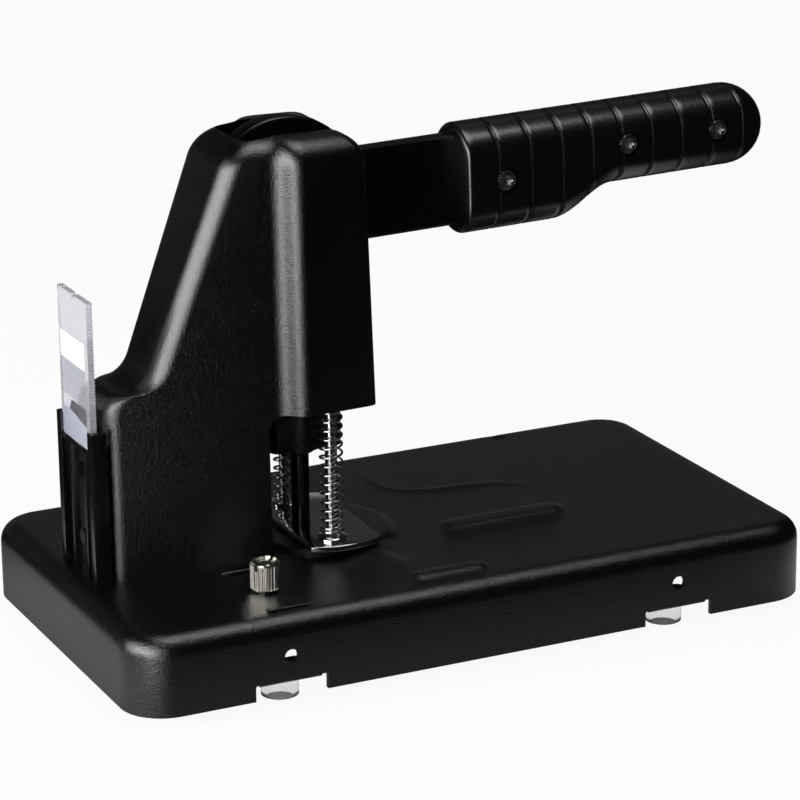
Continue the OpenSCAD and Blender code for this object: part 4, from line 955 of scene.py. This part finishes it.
# Finishes of the CAD parts that stay
nodeFinish = {
    "feet": rubberPaint, "frame": darkSteelPaint, "shaft_spacers": whitePaint, "pivot_bush": brassPaint,
    **dict.fromkeys(("die_bush", "die_screws", "punch_lock_screw", "holder_screws"), oiledSteelPaint),
    **dict.fromkeys(("die_plate", "frame_screws", "stop_pin", "pivot_shaft", "shaft_clips", "drive_pin", "grip_nuts",
                     "post_clips", "cover_screws", "clamp_strap"), steelPaint)}
for nodeName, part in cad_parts.items():
    for slotItem in part.material_slots:
        slotItem.material = nodeFinish.get(nodeName, coatPaint)
print("CAD finishes set")


# Floor, lights and camera
# the halo, glow and sheen settings give painted light on the floor, seen only in reflections
stageSet = {
    "floor": 6.0, "paper": (0.92, 0.92, 0.92), "paperGlow": 0.93, "baseHalf": (120.0, 67.0), "halo": 110.0,
    "haloFade": 70.0, "frontGlow": 0.15, "endGlow": 0.5, "endFrom": 12.0, "endSoft": 33.0, "sideSoft": 25.0,
    "cornerGlow": 0.45, "sheen": 4.2, "sheenColour": (0.93, 0.94, 1.0), "sheenFrom": (-85.0, -15.0),
    "sheenStart": 120.0, "sheenSides": (0.6, 1.4), "sheenSoft": 10.0, "sheenTilt": 0.7, "sheenStartSoft": 20.0,
    "fill": 0.25, "fillColour": (0.94, 0.96, 1.0), "dark": 0.012,
    "lamps": [
        ("leftBox", (-900, -250, 350), (-60, 0, 110), 1600, 720, 7.4),
        ("leftCore", (-880, -240, 340), (-60, 0, 110), 1050, 480, 4.0),
        ("topBox", (110, -110, 1080), (-20, 0, 110), 560, 560, 2.5),
        ("backCard", (400, 1150, 470), (0, 0, 60), 1600, 560, 0.06),
        ("backBox", (330, 700, 860), (0, 0, 60), 600, 350, 0.07),
        ("horizonCard", (500, 2000, 130), (0, 0, 30), 2400, 300, 0.45)]}
cameraSet = {
    "place": (-467.65, -966.4, 416.0), "forward": (0.4099, 0.8587, -0.3075), "right": (0.9024, -0.4308, 0.0),
    "roll": -0.62, "lens": 154.18, "film": 36.0}


# White paper that keeps the shadow. In reflections it shows painted light instead: a glow of lit paper near the
# punch, a painted sheen of the left soft box, and open studio further out.
def makeFloor(s):
    clearSelection()
    bpy.ops.mesh.primitive_plane_add(size=s["floor"], location=(0, 0, -0.0002))
    floor = applyPlace(named("floor"))
    paint = Paint("floorPaperPaintedGlow")
    white = paint.node("ShaderNodeEmission", {}, {"Color": (1.0, 1.0, 1.0), "Strength": 1.0})
    paper = paint.node("ShaderNodeBsdfDiffuse", {}, {"Color": s["paper"]})
    rays = paint.node("ShaderNodeLightPath")
    glossy, straight, through = [Wire(paint, rays.socket.node.outputs["Is %s Ray" % kind])
                                 for kind in ("Glossy", "Camera", "Transmission")]
    plain = straight.highest(through) * s["paperGlow"]
    seen = paint.node("ShaderNodeMixShader", {}, {0: plain, 1: paper, 2: white})

    # painted glow of lit paper round the base: an emission seen only in reflections, dimmer in front than past the
    # ends
    spot = paint.node("ShaderNodeSeparateXYZ", {}, {0: paint.place()}, "X")
    depth = Wire(paint, spot.socket.node.outputs["Y"])
    along = spot - baseMiddle * mm
    pastEnd = along.highest(0.0 - along) - s["baseHalf"][0] * mm
    pastSide = depth.highest(0.0 - depth) - s["baseHalf"][1] * mm
    away = (pastEnd.highest(0.0) ** 2.0 + pastSide.highest(0.0) ** 2.0) ** 0.5
    near = ((s["halo"] * mm - away) * (1 / (s["haloFade"] * mm))).limited()
    corner = 1.0 - (pastSide * s["sideSoft"]).limited() * (1.0 - s["cornerGlow"])
    ends = ((pastEnd + s["endFrom"] * mm) * s["endSoft"]).limited() * corner
    glow = (s["frontGlow"] + (s["endGlow"] - s["frontGlow"]) * ends) * near

    # painted reflection: the sheen of the left soft box on the paper, an emission wedge seen from the cover in
    # reflections only
    left, front = s["sheenFrom"][0] * mm - spot, s["sheenFrom"][1] * mm - depth
    wedge = ((left - front * s["sheenSides"][0]) * s["sheenSoft"] + 0.5).limited()
    wedge = wedge * ((front * s["sheenSides"][1] - left) * s["sheenSoft"] + 0.5).limited()
    wedge = wedge * (((left + front) * s["sheenTilt"] - s["sheenStart"] * mm) * s["sheenStartSoft"]).limited()
    glow = glow.highest(wedge * s["sheen"])
    shade = paint.mixed(glow * (1 / s["sheen"]), (0.0, 0.0, 0.0), s["sheenColour"])
    lit = paint.node("ShaderNodeEmission", {}, {"Color": shade, "Strength": s["sheen"]})
    openAir = paint.node("ShaderNodeBsdfTransparent")
    mirrored = paint.node("ShaderNodeMixShader", {}, {0: near.highest(wedge), 1: openAir, 2: lit})
    both = paint.node("ShaderNodeMixShader", {}, {0: glossy * (1.0 - through), 1: seen, 2: mirrored})
    paint.tree.links.new(both.socket, paint.output.inputs["Surface"])
    floor.data.materials.append(paint.material)


# The world is white where it is seen directly or through clear plastic, and a dim studio elsewhere
def makeWorld(s):
    world = bpy.data.worlds.new("studio")
    bpy.context.scene.world = world
    world.use_nodes = True
    tree = world.node_tree
    tree.nodes.clear()
    output = tree.nodes.new("ShaderNodeOutputWorld")
    rays = tree.nodes.new("ShaderNodeLightPath")

    def background(colour, strength):
        made = tree.nodes.new("ShaderNodeBackground")
        made.inputs["Color"].default_value = (*colour, 1)
        made.inputs["Strength"].default_value = strength
        return made.outputs[0]

    def mixed(factor, first, second):
        made = tree.nodes.new("ShaderNodeMixShader")
        tree.links.new(factor, made.inputs[0])
        tree.links.new(first, made.inputs[1])
        tree.links.new(second, made.inputs[2])
        return made.outputs[0]

    room, dark = background(s["fillColour"], s["fill"]), background(s["fillColour"], s["dark"])
    fill = mixed(rays.outputs["Is Glossy Ray"], room, dark)
    white = background((1, 1, 1), 1.0)
    through = mixed(rays.outputs["Is Transmission Ray"], fill, white)
    tree.links.new(mixed(rays.outputs["Is Camera Ray"], through, white), output.inputs["Surface"])


def makeLamps(s):
    for name, place, aim, width, height, power in s["lamps"]:
        lamp = bpy.data.lights.new(name, "AREA")
        lamp.shape = "RECTANGLE"
        lamp.size, lamp.size_y = width * mm, height * mm
        lamp.energy = power
        obj = placed(name, lamp)
        obj.location = Vector(place) * mm
        obj.rotation_euler = (Vector(aim) - Vector(place)).to_track_quat("-Z", "Y").to_euler()
        obj.visible_camera = obj.visible_transmission = False


def makeCamera(s):
    data = bpy.data.cameras.new("photoCamera")
    data.lens, data.sensor_width = s["lens"], s["film"]
    data.clip_start, data.clip_end = 0.05, 20
    camera = placed("photoCamera", data)
    forward, right = Vector(s["forward"]).normalized(), Vector(s["right"]).normalized()
    up = right.cross(forward).normalized()
    roll = radians(s["roll"])
    across = cos(roll) * right + sin(roll) * up
    above = across.cross(forward).normalized()
    turn = Matrix((across, above, -forward)).transposed().to_4x4()
    camera.matrix_world = Matrix.Translation(Vector(s["place"]) * mm) @ turn
    bpy.context.scene.camera = camera


makeFloor(stageSet)
makeWorld(stageSet)
makeLamps(stageSet)
makeCamera(cameraSet)
bpy.context.scene.view_settings.view_transform = "Standard"
print("stage ready")
